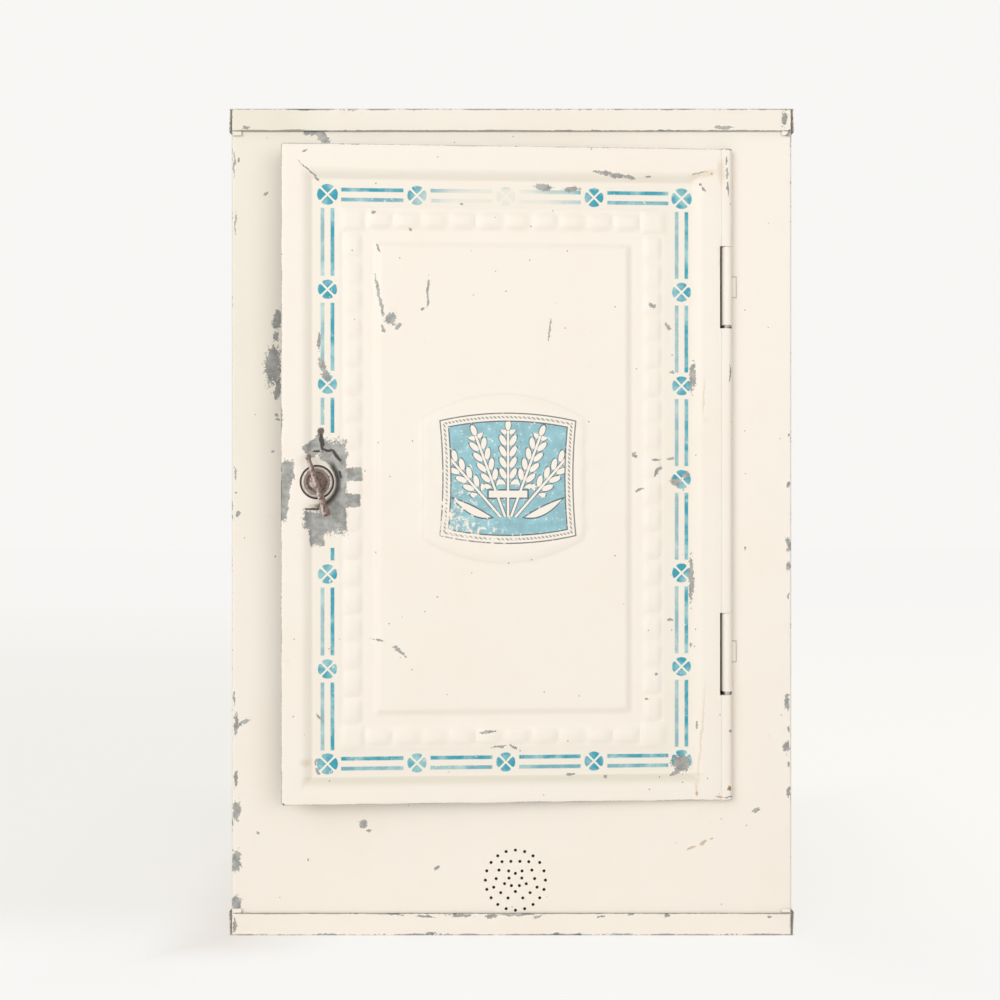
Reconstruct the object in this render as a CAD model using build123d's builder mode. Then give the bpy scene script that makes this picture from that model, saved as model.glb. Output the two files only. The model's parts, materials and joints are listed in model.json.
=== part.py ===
from build123d import *
import os
from math import cos, radians, sin

# Sheet-steel bread cabinet in millimetres, +Z up, with its door facing -Y.
# The origin is the middle of the underside, on the surface that the case stands on.
# The door stands slightly open, and its pieces are drawn in the door's own frame.

# Case
case_width = 436.5
case_depth = 330.0
case_height = 638.0
sheet = 0.8
bend = 2.0
seam_return = 14.0
overrun = 5.0

# End caps, slipped over the walls
cap_flange = 17.5
cap_flare = 0.8
cap_gap = 0.3
corner_relief = 3.0
corner_tab = 7.0
tab_drop = 3.5

# Door opening in the front
door_lap = 14.0
opening_flange = 8.0
opening_corner = 5.0

# Punched vent: a ring of holes around a star
vent_hole = 2.0
vent_hole_sides = 8
vent_height = 42.5
vent_offset = 3.0
vent_ring_radius = 23.2
vent_ring_count = 20
vent_pair_radius = 14.9
vent_pair_spread = 13.5
vent_tip_radius = 17.6
vent_star_radius = 8.8
vent_notch_radius = 5.2
vent_star_count = 5
star_angle = -90.0

# Shelves and the ledges that carry them
shelf_play = 1.5
shelf_lip = 10.0
shelf_setback = 3.0
lower_shelf_drop = 2.0
shelf_hole = 14.0
shelf_hole_sides = 6
shelf_hole_margin = 44.0
shelf_holes_across = 7
shelf_holes_deep = 5
ledge_leg = 14.0
ledge_play = 1.0

# Rivets
rivet_radius = 1.6
rivet_play = 0.1
rivet_head_radius = 3.0
rivet_head = 1.2
rivet_taper = 35.0
rivet_sides = 10
ledge_rivet_inset = 52.0
hinge_rivet_spread = 40.0
hinge_rivet_inset = 9.0

# Door: its rolled edge turns on the hinge pins
door_ajar = 3.2
door_sill = 106.0
door_head = 33.0
latch_margin = 43.8
hinge_margin = 52.9
door_bend = 1.2
roll_radius = 4.0
roll_gap = 0.4
curl_from = 210.0
curl_to = 262.0
flange_gap = 0.4

# Door pressing, with distances counted in from the sheet's edges
pressing_drop = 3.0
border = 14.5
border_corner = 9.0
border_slope = 8.0
band_corner = 3.0
recess = 4.0
bead_inset = 45.5
bead_strip = 16.0
bead_rise = 1.6
bead_gap = 2.0
bead_side_angle = 17.0
bead_end_angle = 27.0
bead_corner = 9.5
beads_down = 18
beads_across = 10
field_inset = 69.0
field_slope = 6.0
field_rise = 2.5
field_corner = 3.0
cartouche_half_width = 60.5
cartouche_half_height = 63.5
cartouche_shoulder = 46.0
cartouche_scallop = 3.0
cartouche_rise = 1.4
cartouche_slope = 2.5
scallop_count = 4
form_depth = 12.0

# Hinges
hinge_inset = 109.0
hinge_rise = 3.0
notch_height = 63.0
notch_gap = 1.0
knuckle_drop = 3.0
knuckle_play = 0.3
leaf = 1.0
leaf_reach = 13.0
tongue_reach = 4.0
tongue_height = 16.5
tongue_corner = 2.5
pin_play = 0.1
pin_reach = 14.0

# Latch, on the round-ended boss that runs out of the door's border
latch_inset = 27.0
latch_drop = 6.0
latch_tilt = 17.7
boss_radius = 17.0
boss_shift = 3.4
boss_slope = 4.0
spindle_radius = 3.0
spindle_play = 0.1
rosette_radius = 12.4
rosette_rim = 1.8
rosette_valley = 1.0
rosette_hub = 2.4
rosette_rim_width = 2.6
rosette_hub_radius = 6.6
rosette_gap = 0.2
handle_top_reach = 21.5
handle_foot_reach = 27.0
handle_top_width = 4.4
handle_foot_width = 5.8
handle_thickness = 4.4
handle_rise = 4.5
handle_hub_radius = 5.2
handle_bevel = 1.2
sleeve_radius = 5.0
cam_length = 26.0
cam_width = 11.0
cam_tip_radius = 3.6
cam_thickness = 1.6
cam_gap = 0.6
nut_width = 10.0
nut_height = 4.0
spindle_end = 1.0

os.makedirs("parts", exist_ok=True)

# Places worked out from the sizes
body_width = case_width - 2 * (sheet + cap_gap + cap_flare)
body_depth = case_depth - 2 * (sheet + cap_gap + cap_flare)
wall_height = case_height - 2 * sheet
front_y = -body_depth / 2
back_y = body_depth / 2
wall_x = body_width / 2 - sheet
inner_x = wall_x - sheet
cap_bend = sheet + cap_gap / 2
cap_edge = case_height - cap_flange

hinge_x = case_width / 2 - hinge_margin
hinge_y = front_y - roll_radius - roll_gap
free_edge = latch_margin + hinge_margin - case_width
door_width = roll_radius - free_edge
door_height = case_height - door_sill - door_head
door_middle = door_sill + door_height / 2
sheet_width = -roll_radius - free_edge
press_x = (free_edge - roll_radius) / 2
press_z = door_middle - pressing_drop
case_face = -roll_radius - roll_gap
flange_end = case_face + flange_gap
band_level = roll_radius - recess
field_level = band_level + field_rise
frame_inset = door_bend + 2 * sheet

opening_width = sheet_width - 2 * door_lap
opening_height = door_height - 2 * door_lap
opening_x = hinge_x + press_x

along = Vector(cos(radians(door_ajar)), sin(radians(door_ajar)), 0)
outward = Vector(sin(radians(door_ajar)), -cos(radians(door_ajar)), 0)
hinge_point = Vector(hinge_x, hinge_y, 0)


def case_front(y):
    """Upright plane that faces the front, at one depth of the case."""
    return Plane.XZ.offset(-y)


def door_face(level):
    """Plane along the door, at a level counted outwards from the hinge axis."""
    return Plane(hinge_point + outward * level, x_dir=along, z_dir=outward)


def door_slice(z):
    """Level plane in the door's frame, with the hinge axis at its middle and y towards the case."""
    return Plane(hinge_point + Vector(0, 0, z), x_dir=along, z_dir=(0, 0, 1))


def rivet_hole(mode=Mode.ADD):
    """Hole for a rivet's shank, clear of its corners."""
    RegularPolygon(rivet_radius + rivet_play, rivet_sides, major_radius=False, mode=mode)


def vent_holes():
    """Punches the vent around the place that is set."""
    with PolarLocations(vent_ring_radius, vent_ring_count):
        RegularPolygon(vent_hole / 2, vent_hole_sides)
    for spread in (-vent_pair_spread, vent_pair_spread):
        with PolarLocations(vent_pair_radius, vent_star_count, start_angle=spread - star_angle):
            RegularPolygon(vent_hole / 2, vent_hole_sides)
    step = 360 / vent_star_count
    tips = vent_star_count - 1
    with PolarLocations(vent_tip_radius, tips, star_angle + step, step * (tips - 1), endpoint=True):
        RegularPolygon(vent_hole / 2, vent_hole_sides)
    with PolarLocations(vent_star_radius, vent_star_count, start_angle=star_angle):
        RegularPolygon(vent_hole / 2, vent_hole_sides)
    with PolarLocations(vent_notch_radius, vent_star_count, start_angle=-star_angle):
        RegularPolygon(vent_hole / 2, vent_hole_sides)


# Hinge heights: the door hangs on the upper end of each knuckle
hinge_middles = {
    "upper": door_middle + hinge_rise + door_height / 2 - hinge_inset,
    "lower": door_middle + hinge_rise - door_height / 2 + hinge_inset,
}
knuckle_height = notch_height - knuckle_drop
hinge_rivet_places = [
    (hinge_x - hinge_rivet_inset, middle + side * hinge_rivet_spread / 2)
    for middle in hinge_middles.values()
    for side in (-1, 1)
]

# Front panel: wrapped at both sides, with a turned-in frame around the door opening
with BuildPart() as front_panel:
    with BuildSketch(Plane.XY.offset(sheet)):
        with BuildLine():
            FilletPolyline(
                (-body_width / 2, front_y + seam_return),
                (-body_width / 2, front_y),
                (body_width / 2, front_y),
                (body_width / 2, front_y + seam_return),
                radius=bend,
            )
            offset(amount=sheet, side=Side.LEFT)
        make_face()
    extrude(amount=wall_height)
    with BuildSketch(case_front(front_y)):
        with Locations((opening_x, door_middle)):
            RectangleRounded(opening_width + 2 * sheet, opening_height + 2 * sheet, opening_corner + sheet)
    extrude(amount=-opening_flange)
    with BuildSketch(case_front(front_y)):
        with Locations((opening_x, door_middle)):
            RectangleRounded(opening_width, opening_height, opening_corner)
        with Locations((vent_offset, vent_height)):
            vent_holes()
        with Locations(*hinge_rivet_places):
            rivet_hole()
    extrude(amount=-opening_flange, mode=Mode.SUBTRACT)
front_panel.part.label = "front_panel"
export_step(front_panel.part, "parts/front_panel.step")

# Back panel: wrapped like the front, and plain
with BuildPart() as back_panel:
    with BuildSketch(Plane.XY.offset(sheet)):
        with BuildLine():
            FilletPolyline(
                (body_width / 2, back_y - seam_return),
                (body_width / 2, back_y),
                (-body_width / 2, back_y),
                (-body_width / 2, back_y - seam_return),
                radius=bend,
            )
            offset(amount=sheet, side=Side.LEFT)
        make_face()
    extrude(amount=wall_height)
back_panel.part.label = "back_panel"
export_step(back_panel.part, "parts/back_panel.step")

# Shelf levels, the lowest just under the sill of the door opening
shelf_names = ("lower", "middle", "upper")
shelf_spacing = opening_height / len(shelf_names)
lower_top = door_sill + door_lap - lower_shelf_drop
shelf_tops = {name: lower_top + row * shelf_spacing for row, name in enumerate(shelf_names)}
shelf_front = front_y + opening_flange + shelf_setback
shelf_back = back_y - sheet - shelf_setback
shelf_middle_y = (shelf_front + shelf_back) / 2
shelf_width = 2 * (inner_x - shelf_play)
hole_pitch_x = (shelf_width - 2 * shelf_hole_margin) / (shelf_holes_across - 1)
hole_pitch_y = (shelf_back - shelf_front - 2 * shelf_hole_margin) / (shelf_holes_deep - 1)
ledge_depth = shelf_back - shelf_front - 2 * (sheet + bend + ledge_play)
rivet_drop = sheet + ledge_leg / 2
ledge_rivet_places = [
    (shelf_middle_y + side * (ledge_depth / 2 - ledge_rivet_inset), top - rivet_drop)
    for top in shelf_tops.values()
    for side in (-1, 1)
]

# Side walls, lapped inside the seams of the front and the back
for side_name, side in (("left", -1), ("right", 1)):
    with BuildPart() as side_wall:
        with BuildSketch(Plane.YZ.offset(side * wall_x)):
            with Locations((0, case_height / 2)):
                Rectangle(body_depth - 2 * (sheet + bend), wall_height)
            with Locations(*ledge_rivet_places):
                rivet_hole(Mode.SUBTRACT)
        extrude(amount=-side * sheet)
    side_wall.part.label = f"{side_name}_side"
    export_step(side_wall.part, f"parts/{side_name}_side.step")

# End caps: pans with a flaring flange, open at the corners and with a small tab beside each
with BuildPart() as top_cap:
    for level, inset in ((cap_edge, 0), (case_height, cap_flare)):
        with BuildSketch(Plane.XY.offset(level)):
            Rectangle(case_width - 2 * inset, case_depth - 2 * inset)
    loft()
    fillet(top_cap.edges().group_by(Axis.Z)[-1], radius=cap_bend)
    for level, inset in ((cap_edge, sheet), (case_height - sheet, sheet + cap_flare)):
        with BuildSketch(Plane.XY.offset(level)):
            Rectangle(case_width - 2 * inset, case_depth - 2 * inset)
    loft(mode=Mode.SUBTRACT)
    with BuildSketch(Plane.XY.offset(cap_edge)):
        with GridLocations(case_width, case_depth, 2, 2):
            Rectangle(2 * corner_relief, 2 * corner_relief)
    extrude(amount=cap_flange - cap_bend, mode=Mode.SUBTRACT)
    with BuildSketch(Plane.XY.offset(cap_edge)):
        with GridLocations(case_width - 2 * corner_relief - corner_tab, case_depth - sheet, 2, 2):
            Rectangle(corner_tab, sheet)
    extrude(amount=-tab_drop)
top_cap.part.label = "top_cap"
export_step(top_cap.part, "parts/top_cap.step")

with BuildPart() as bottom_cap:
    mirror(top_cap.part, about=Plane.XY.offset(case_height / 2))
bottom_cap.part.label = "bottom_cap"
export_step(bottom_cap.part, "parts/bottom_cap.step")

# Shelves: perforated sheet whose turned-down lips hook over the ends of the ledges
for level_name, top in shelf_tops.items():
    with BuildPart() as shelf:
        with BuildSketch(Plane.YZ):
            with BuildLine():
                FilletPolyline(
                    (shelf_front, top - shelf_lip),
                    (shelf_front, top),
                    (shelf_back, top),
                    (shelf_back, top - shelf_lip),
                    radius=bend,
                )
                offset(amount=sheet, side=Side.RIGHT)
            make_face()
        extrude(amount=shelf_width / 2, both=True)
        with BuildSketch(Plane.XY.offset(top)):
            with Locations((0, shelf_middle_y)):
                with GridLocations(hole_pitch_x, hole_pitch_y, shelf_holes_across, shelf_holes_deep):
                    RegularPolygon(shelf_hole / 2, shelf_hole_sides)
        extrude(amount=-overrun, mode=Mode.SUBTRACT)
    shelf.part.label = f"{level_name}_shelf"
    export_step(shelf.part, f"parts/{level_name}_shelf.step")

    # Ledges: bent angles, flush under the shelf and flat on the wall
    for side_name, side in (("left", -1), ("right", 1)):
        with BuildPart() as ledge:
            with BuildSketch(case_front(shelf_middle_y)):
                with BuildLine():
                    FilletPolyline(
                        (side * inner_x, top - sheet - ledge_leg),
                        (side * inner_x, top - sheet),
                        (side * (inner_x - ledge_leg), top - sheet),
                        radius=bend,
                    )
                    offset(amount=sheet, side=Side.RIGHT if side < 0 else Side.LEFT)
                make_face()
            extrude(amount=ledge_depth / 2, both=True)
            with BuildSketch(Plane.YZ.offset(side * inner_x)):
                with Locations(*ledge_rivet_places):
                    rivet_hole()
            extrude(amount=-side * overrun, mode=Mode.SUBTRACT)
        ledge.part.label = f"{side_name}_{level_name}_ledge"
        export_step(ledge.part, f"parts/{side_name}_{level_name}_ledge.step")


def rivet(grip):
    """Pan-head rivet along Z, its shank ending flush with the far sheet."""
    with BuildPart() as solid:
        with BuildSketch():
            RegularPolygon(rivet_head_radius, rivet_sides)
        extrude(amount=rivet_head, taper=rivet_taper)
        with BuildSketch():
            RegularPolygon(rivet_radius, rivet_sides)
        extrude(amount=-grip)
    return solid.part


# Rivets that hold the ledges, with their heads outside the side walls
with BuildPart() as ledge_rivets:
    for side in (-1, 1):
        with Locations(*[Location((side * wall_x, y, z), (0, side * 90, 0)) for y, z in ledge_rivet_places]):
            add(rivet(2 * sheet))
ledge_rivets.part.label = "ledge_rivets"
export_step(ledge_rivets.part, "parts/ledge_rivets.step")

# Rivets that hold the hinge leaves, hidden behind the door's border
with BuildPart() as hinge_rivets:
    with Locations(*[Location((x, front_y - leaf, z), (90, 0, 0)) for x, z in hinge_rivet_places]):
        add(rivet(leaf + sheet))
hinge_rivets.part.label = "hinge_rivets"
export_step(hinge_rivets.part, "parts/hinge_rivets.step")

# Hinge leaves, each a knuckle on a flat leaf with a tongue that shows beside the door, and the pins
knuckle_bore = roll_radius - leaf
pin_radius = knuckle_bore - pin_play
for level_name, middle in hinge_middles.items():
    knuckle_bottom = middle + notch_height / 2 - knuckle_play - knuckle_height
    with BuildPart() as hinge_leaf:
        with BuildSketch(Plane.XY.offset(knuckle_bottom)):
            with Locations((hinge_x, hinge_y)):
                Circle(roll_radius)
            with Locations((hinge_x - leaf_reach, front_y)):
                Rectangle(leaf_reach, leaf, align=(Align.MIN, Align.MAX))
        extrude(amount=knuckle_height)
        with BuildSketch(case_front(front_y)):
            with Locations((hinge_x, middle)):
                RectangleRounded(2 * (roll_radius + tongue_reach), tongue_height, tongue_corner)
        extrude(amount=leaf)
        with BuildSketch(case_front(front_y)):
            with Locations(*hinge_rivet_places):
                rivet_hole()
        extrude(amount=leaf, mode=Mode.SUBTRACT)
        with BuildSketch(Plane.XY.offset(knuckle_bottom)):
            with Locations((hinge_x, hinge_y)):
                Circle(knuckle_bore)
        extrude(amount=knuckle_height, mode=Mode.SUBTRACT)
    hinge_leaf.part.label = f"{level_name}_hinge_leaf"
    export_step(hinge_leaf.part, f"parts/{level_name}_hinge_leaf.step")

    with BuildPart() as hinge_pin:
        with BuildSketch(Plane.XY.offset(middle - notch_height / 2 - pin_reach)):
            with Locations((hinge_x, hinge_y)):
                Circle(pin_radius)
        extrude(amount=notch_height + 2 * pin_reach)
    hinge_pin.part.label = f"{level_name}_hinge_pin"
    export_step(hinge_pin.part, f"parts/{level_name}_hinge_pin.step")

# Latch places, in the door's frame
latch_x = free_edge + latch_inset
latch_z = door_middle - latch_drop
boss_run = latch_inset - boss_shift - border / 2
cam_front = case_face - opening_flange - cam_gap


def latch_face(level, turn=0):
    """Plane across the latch axis, at a level counted outwards from the hinge axis."""
    return Plane(door_face(level).location * Location((latch_x, latch_z, 0), (0, 0, turn)))


def press_face(level):
    """Plane of the door's pressing, centred on it."""
    return Plane(door_face(level).location * Location((press_x, press_z, 0)))


def bead(length):
    """One bead of the moulding: a pillow with a flat crown and four slopes, on Z = 0 and along X."""
    with BuildPart() as pillow:
        with BuildSketch(Plane.YZ):
            Trapezoid(bead_strip, bead_rise, bead_side_angle, align=(Align.CENTER, Align.MIN))
        extrude(amount=length / 2, both=True)
        with BuildSketch(Plane.XZ):
            Trapezoid(length, bead_rise, bead_end_angle, align=(Align.CENTER, Align.MIN))
        extrude(amount=bead_strip / 2, both=True, mode=Mode.INTERSECT)
    return pillow.part


# Places of the beads along the two uprights, the two rails and the corners
bead_x = sheet_width / 2 - bead_inset - bead_strip / 2
bead_z = door_height / 2 - bead_inset - bead_strip / 2
down_pitch = 2 * (bead_z - bead_corner) / beads_down
across_pitch = 2 * (bead_x - bead_corner) / beads_across
bead_band = press_face(band_level).location
upright_places = [
    bead_band * Location((x, (row - (beads_down - 1) / 2) * down_pitch, 0), (0, 0, 90))
    for x in (-bead_x, bead_x)
    for row in range(beads_down)
]
rail_places = [
    bead_band * Location(((column - (beads_across - 1) / 2) * across_pitch, z, 0))
    for z in (-bead_z, bead_z)
    for column in range(beads_across)
]
corner_places = [
    bead_band * Location((x, z, 0)) for x in (-bead_x, bead_x) for z in (-bead_z, bead_z)
]


def cartouche(inset):
    """Outline of the cartouche: bowed top and bottom, scalloped sides."""
    half = cartouche_half_width - inset
    apex = cartouche_half_height - inset
    shoulder = cartouche_shoulder - inset
    step = 2 * shoulder / scallop_count
    with BuildSketch(press_face(field_level + (cartouche_rise if inset else 0))) as outline:
        with BuildLine():
            for side in (-1, 1):
                ThreePointArc((-half, side * shoulder), (0, side * apex), (half, side * shoulder))
                for row in range(scallop_count):
                    low = row * step - shoulder
                    bulge = (side * (half + cartouche_scallop), low + step / 2)
                    ThreePointArc((side * half, low), bulge, (side * half, low + step))
        make_face()
    return outline.sketch


# The pressing's outer form, thick behind, from which the sheet is peeled
with BuildPart() as door_form:
    with BuildSketch(door_face(roll_radius)):
        with Locations((press_x, door_middle)):
            Rectangle(sheet_width - 2 * frame_inset, door_height - 2 * frame_inset)
    extrude(amount=-form_depth)
    for level, inset, corner in (
        (roll_radius, border, border_corner),
        (band_level, border + border_slope, band_corner),
    ):
        with BuildSketch(press_face(level)):
            RectangleRounded(sheet_width - 2 * inset, door_height - 2 * inset, corner)
    loft(mode=Mode.SUBTRACT)
    for level, inset in ((band_level, field_inset), (field_level, field_inset + field_slope)):
        with BuildSketch(press_face(level)):
            RectangleRounded(sheet_width - 2 * inset, door_height - 2 * inset, field_corner)
    loft()
    loft([cartouche(0), cartouche(cartouche_slope)], ruled=True)
    for level, radius in ((band_level, boss_radius + boss_slope), (roll_radius, boss_radius)):
        with BuildSketch(latch_face(level)):
            with Locations((-boss_shift, 0)):
                Circle(radius)
                Rectangle(boss_run, 2 * radius, align=(Align.MAX, Align.CENTER))
            with Locations((-boss_shift - boss_run, 0)):
                Rectangle(boss_run + radius, 2 * radius, align=(Align.MIN, Align.CENTER), mode=Mode.INTERSECT)
    loft()
    with Locations(*upright_places):
        add(bead(down_pitch - bead_gap))
    with Locations(*rail_places):
        add(bead(across_pitch - bead_gap))
    with Locations(*corner_places):
        add(bead(2 * bead_corner - bead_gap))

# Door: a pan turned back on three sides, pressed in the middle and rolled along the hinge edge
with BuildPart() as door_panel:
    with BuildSketch(door_face(flange_end)):
        with Locations((free_edge, door_middle)):
            Rectangle(-free_edge, door_height, align=(Align.MIN, Align.CENTER))
    extrude(amount=roll_radius - flange_end)
    front_edges = door_panel.faces().sort_by(Axis(hinge_point, outward))[-1].edges()
    fillet(front_edges.sort_by(Axis(hinge_point, along))[:-1], radius=door_bend)
    with BuildSketch(door_face(flange_end)):
        with Locations((free_edge + sheet, door_middle)):
            Rectangle(-free_edge, door_height - 2 * sheet, align=(Align.MIN, Align.CENTER))
        with Locations((-roll_radius - notch_gap, door_middle)):
            Rectangle(door_width, door_height, align=(Align.MIN, Align.CENTER))
    extrude(amount=roll_radius - sheet - flange_end, mode=Mode.SUBTRACT)
    with BuildSketch(door_face(flange_end)):
        with Locations((press_x, door_middle)):
            Rectangle(sheet_width - 2 * frame_inset, door_height - 2 * frame_inset)
    extrude(amount=roll_radius - flange_end, mode=Mode.SUBTRACT)
    add(door_form.part - door_form.part.moved(Location(outward * -sheet)))
    with BuildSketch(door_slice(door_sill)):
        Circle(roll_radius)
        Circle(roll_radius - sheet, mode=Mode.SUBTRACT)
        with BuildLine():
            edge_from = (2 * roll_radius * cos(radians(curl_from)), 2 * roll_radius * sin(radians(curl_from)))
            edge_to = (2 * roll_radius * cos(radians(curl_to)), 2 * roll_radius * sin(radians(curl_to)))
            Polyline((0, 0), edge_from, edge_to, close=True)
        make_face(mode=Mode.SUBTRACT)
    extrude(amount=door_height)
    with BuildSketch(door_face(0)):
        with Locations(*[(-roll_radius - notch_gap, middle) for middle in hinge_middles.values()]):
            Rectangle(door_width, notch_height, align=(Align.MIN, Align.CENTER))
    extrude(amount=roll_radius + overrun, both=True, mode=Mode.SUBTRACT)
    with BuildSketch(latch_face(roll_radius)):
        Circle(spindle_radius + spindle_play)
    extrude(amount=-overrun, mode=Mode.SUBTRACT)
door_panel.part.label = "door_panel"
export_step(door_panel.part, "parts/door_panel.step")

# Latch rosette: a dished plate with a raised rim, flat on the boss
latch_axis = Axis(latch_face(0).origin, outward)
latch_section = Plane(latch_face(0).origin, x_dir=along, z_dir=(0, 0, -1))
spindle_bore = spindle_radius + spindle_play
rim_inner = rosette_radius - rosette_rim_width
with BuildPart() as latch_rosette:
    with BuildSketch(latch_section):
        with BuildLine():
            Polyline(
                (rosette_radius, roll_radius + rosette_valley),
                (rosette_radius, roll_radius),
                (spindle_bore, roll_radius),
                (spindle_bore, roll_radius + rosette_hub),
                (rosette_hub_radius, roll_radius + rosette_hub),
                (rosette_hub_radius, roll_radius + rosette_valley),
                (rim_inner, roll_radius + rosette_valley),
                ((rim_inner + rosette_radius) / 2, roll_radius + rosette_rim),
                close=True,
            )
        make_face()
    revolve(axis=latch_axis)
latch_rosette.part.label = "latch_rosette"
export_step(latch_rosette.part, "parts/latch_rosette.step")

# Thumb turn: a bar that widens to its longer end, on a round hub
hub_level = roll_radius + rosette_hub + rosette_gap
bar_level = hub_level + handle_rise
with BuildPart() as latch_handle:
    with BuildSketch(latch_face(bar_level, latch_tilt)):
        with Locations((0, handle_top_reach - handle_top_width / 2)):
            Circle(handle_top_width / 2)
        with Locations((0, handle_foot_width / 2 - handle_foot_reach)):
            Circle(handle_foot_width / 2)
        make_hull()
    extrude(amount=handle_thickness)
    bar_faces = latch_handle.faces().sort_by(Axis(hinge_point, outward))
    chamfer(bar_faces[0].edges() + bar_faces[-1].edges(), length=handle_bevel)
    with BuildSketch(latch_face(hub_level)):
        Circle(handle_hub_radius)
    extrude(amount=handle_rise + handle_thickness / 2)
    with BuildSketch(latch_face(hub_level)):
        Circle(spindle_bore)
    extrude(amount=handle_rise, mode=Mode.SUBTRACT)
latch_handle.part.label = "latch_handle"
export_step(latch_handle.part, "parts/latch_handle.step")

# Spindle, from inside the hub to just past the nut
spindle_bottom = cam_front - cam_thickness - nut_height - spindle_end
with BuildPart() as latch_spindle:
    with BuildSketch(latch_face(spindle_bottom)):
        Circle(spindle_radius)
    extrude(amount=bar_level - spindle_bottom)
latch_spindle.part.label = "latch_spindle"
export_step(latch_spindle.part, "parts/latch_spindle.step")

# Sleeve that spaces the cam from the back of the door
with BuildPart() as latch_sleeve:
    with BuildSketch(latch_face(cam_front)):
        Circle(sleeve_radius)
        Circle(spindle_bore, mode=Mode.SUBTRACT)
    extrude(amount=roll_radius - sheet - rosette_gap - cam_front)
latch_sleeve.part.label = "latch_sleeve"
export_step(latch_sleeve.part, "parts/latch_sleeve.step")

# Cam, hanging beside the jamb until the thumb turn is brought level
with BuildPart() as latch_cam:
    with BuildSketch(latch_face(cam_front, latch_tilt)):
        Circle(cam_width / 2)
        with Locations((0, cam_tip_radius - cam_length)):
            Circle(cam_tip_radius)
        make_hull()
        Circle(spindle_bore, mode=Mode.SUBTRACT)
    extrude(amount=-cam_thickness)
latch_cam.part.label = "latch_cam"
export_step(latch_cam.part, "parts/latch_cam.step")

# Square nut on the end of the spindle
with BuildPart() as latch_nut:
    with BuildSketch(latch_face(cam_front - cam_thickness, latch_tilt)):
        Rectangle(nut_width, nut_width)
        Circle(spindle_bore, mode=Mode.SUBTRACT)
    extrude(amount=-nut_height)
latch_nut.part.label = "latch_nut"
export_step(latch_nut.part, "parts/latch_nut.step")
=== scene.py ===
"""Dresses the sheet-steel bread cabinet: pressed door, latch, paint, wear and studio."""

import json
from functools import partialmethod, reduce
from math import cos, radians, sin, tau

import bpy
import numpy
from bpy.props import FloatProperty, FloatVectorProperty, PointerProperty
from mathutils import Matrix, Vector


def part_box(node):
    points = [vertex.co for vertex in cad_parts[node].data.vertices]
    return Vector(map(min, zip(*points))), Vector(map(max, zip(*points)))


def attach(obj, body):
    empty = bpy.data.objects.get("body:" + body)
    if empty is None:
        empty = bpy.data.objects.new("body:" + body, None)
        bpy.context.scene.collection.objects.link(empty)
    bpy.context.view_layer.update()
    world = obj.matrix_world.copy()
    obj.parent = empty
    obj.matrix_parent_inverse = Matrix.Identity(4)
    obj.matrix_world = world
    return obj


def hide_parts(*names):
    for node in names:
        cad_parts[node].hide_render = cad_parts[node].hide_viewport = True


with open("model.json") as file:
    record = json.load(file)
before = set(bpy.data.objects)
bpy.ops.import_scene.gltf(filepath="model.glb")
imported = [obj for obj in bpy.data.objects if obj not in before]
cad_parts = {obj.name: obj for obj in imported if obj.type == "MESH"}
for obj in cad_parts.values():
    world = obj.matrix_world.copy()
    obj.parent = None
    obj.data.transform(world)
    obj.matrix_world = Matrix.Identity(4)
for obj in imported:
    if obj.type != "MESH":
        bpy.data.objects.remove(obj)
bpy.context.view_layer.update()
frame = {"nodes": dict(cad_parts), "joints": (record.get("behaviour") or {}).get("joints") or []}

bl_info = {
    "name": "Bread cabinet",
    "version": (1, 0, 0),
    "blender": (4, 5, 0),
    "location": "View3D > Sidebar > Cabinet",
    "description": "Models and paints a worn sheet-steel bread cabinet on its packed frame",
    "category": "Object",
}

MM = 1000  # millimetres in a metre

# Places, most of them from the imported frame
joints = {joint["name"]: joint for joint in frame["joints"]}
hinge_place = Vector(joints["door_swing"]["pos_m"])
latch_place = Vector(joints["latch_turn"]["pos_m"])
ajar = -radians(joints["door_swing"]["range_deg"][0])
along = Vector((cos(ajar), sin(ajar), 0))
outward = Vector((sin(ajar), -cos(ajar), 0))
latch_u = along.dot(latch_place - hinge_place)
door_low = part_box("door_panel")[0][2]
door_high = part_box("door_panel")[1][2]
case_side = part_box("front_panel")[1][0]
case_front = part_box("front_panel")[0][1]
wall_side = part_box("right_side")[1][0]
tab_drop = 0.0035
cap_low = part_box("bottom_cap")[1][2] - tab_drop
cap_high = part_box("top_cap")[0][2] + tab_drop
vent_x, vent_z = 0.003, 0.0425
case_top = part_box("top_cap")[1][2]
stencil_middle = Vector((-0.1701, 0, 0.3518))
LATCH_LEAN = 17.7  # degrees from upright at rest

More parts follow.
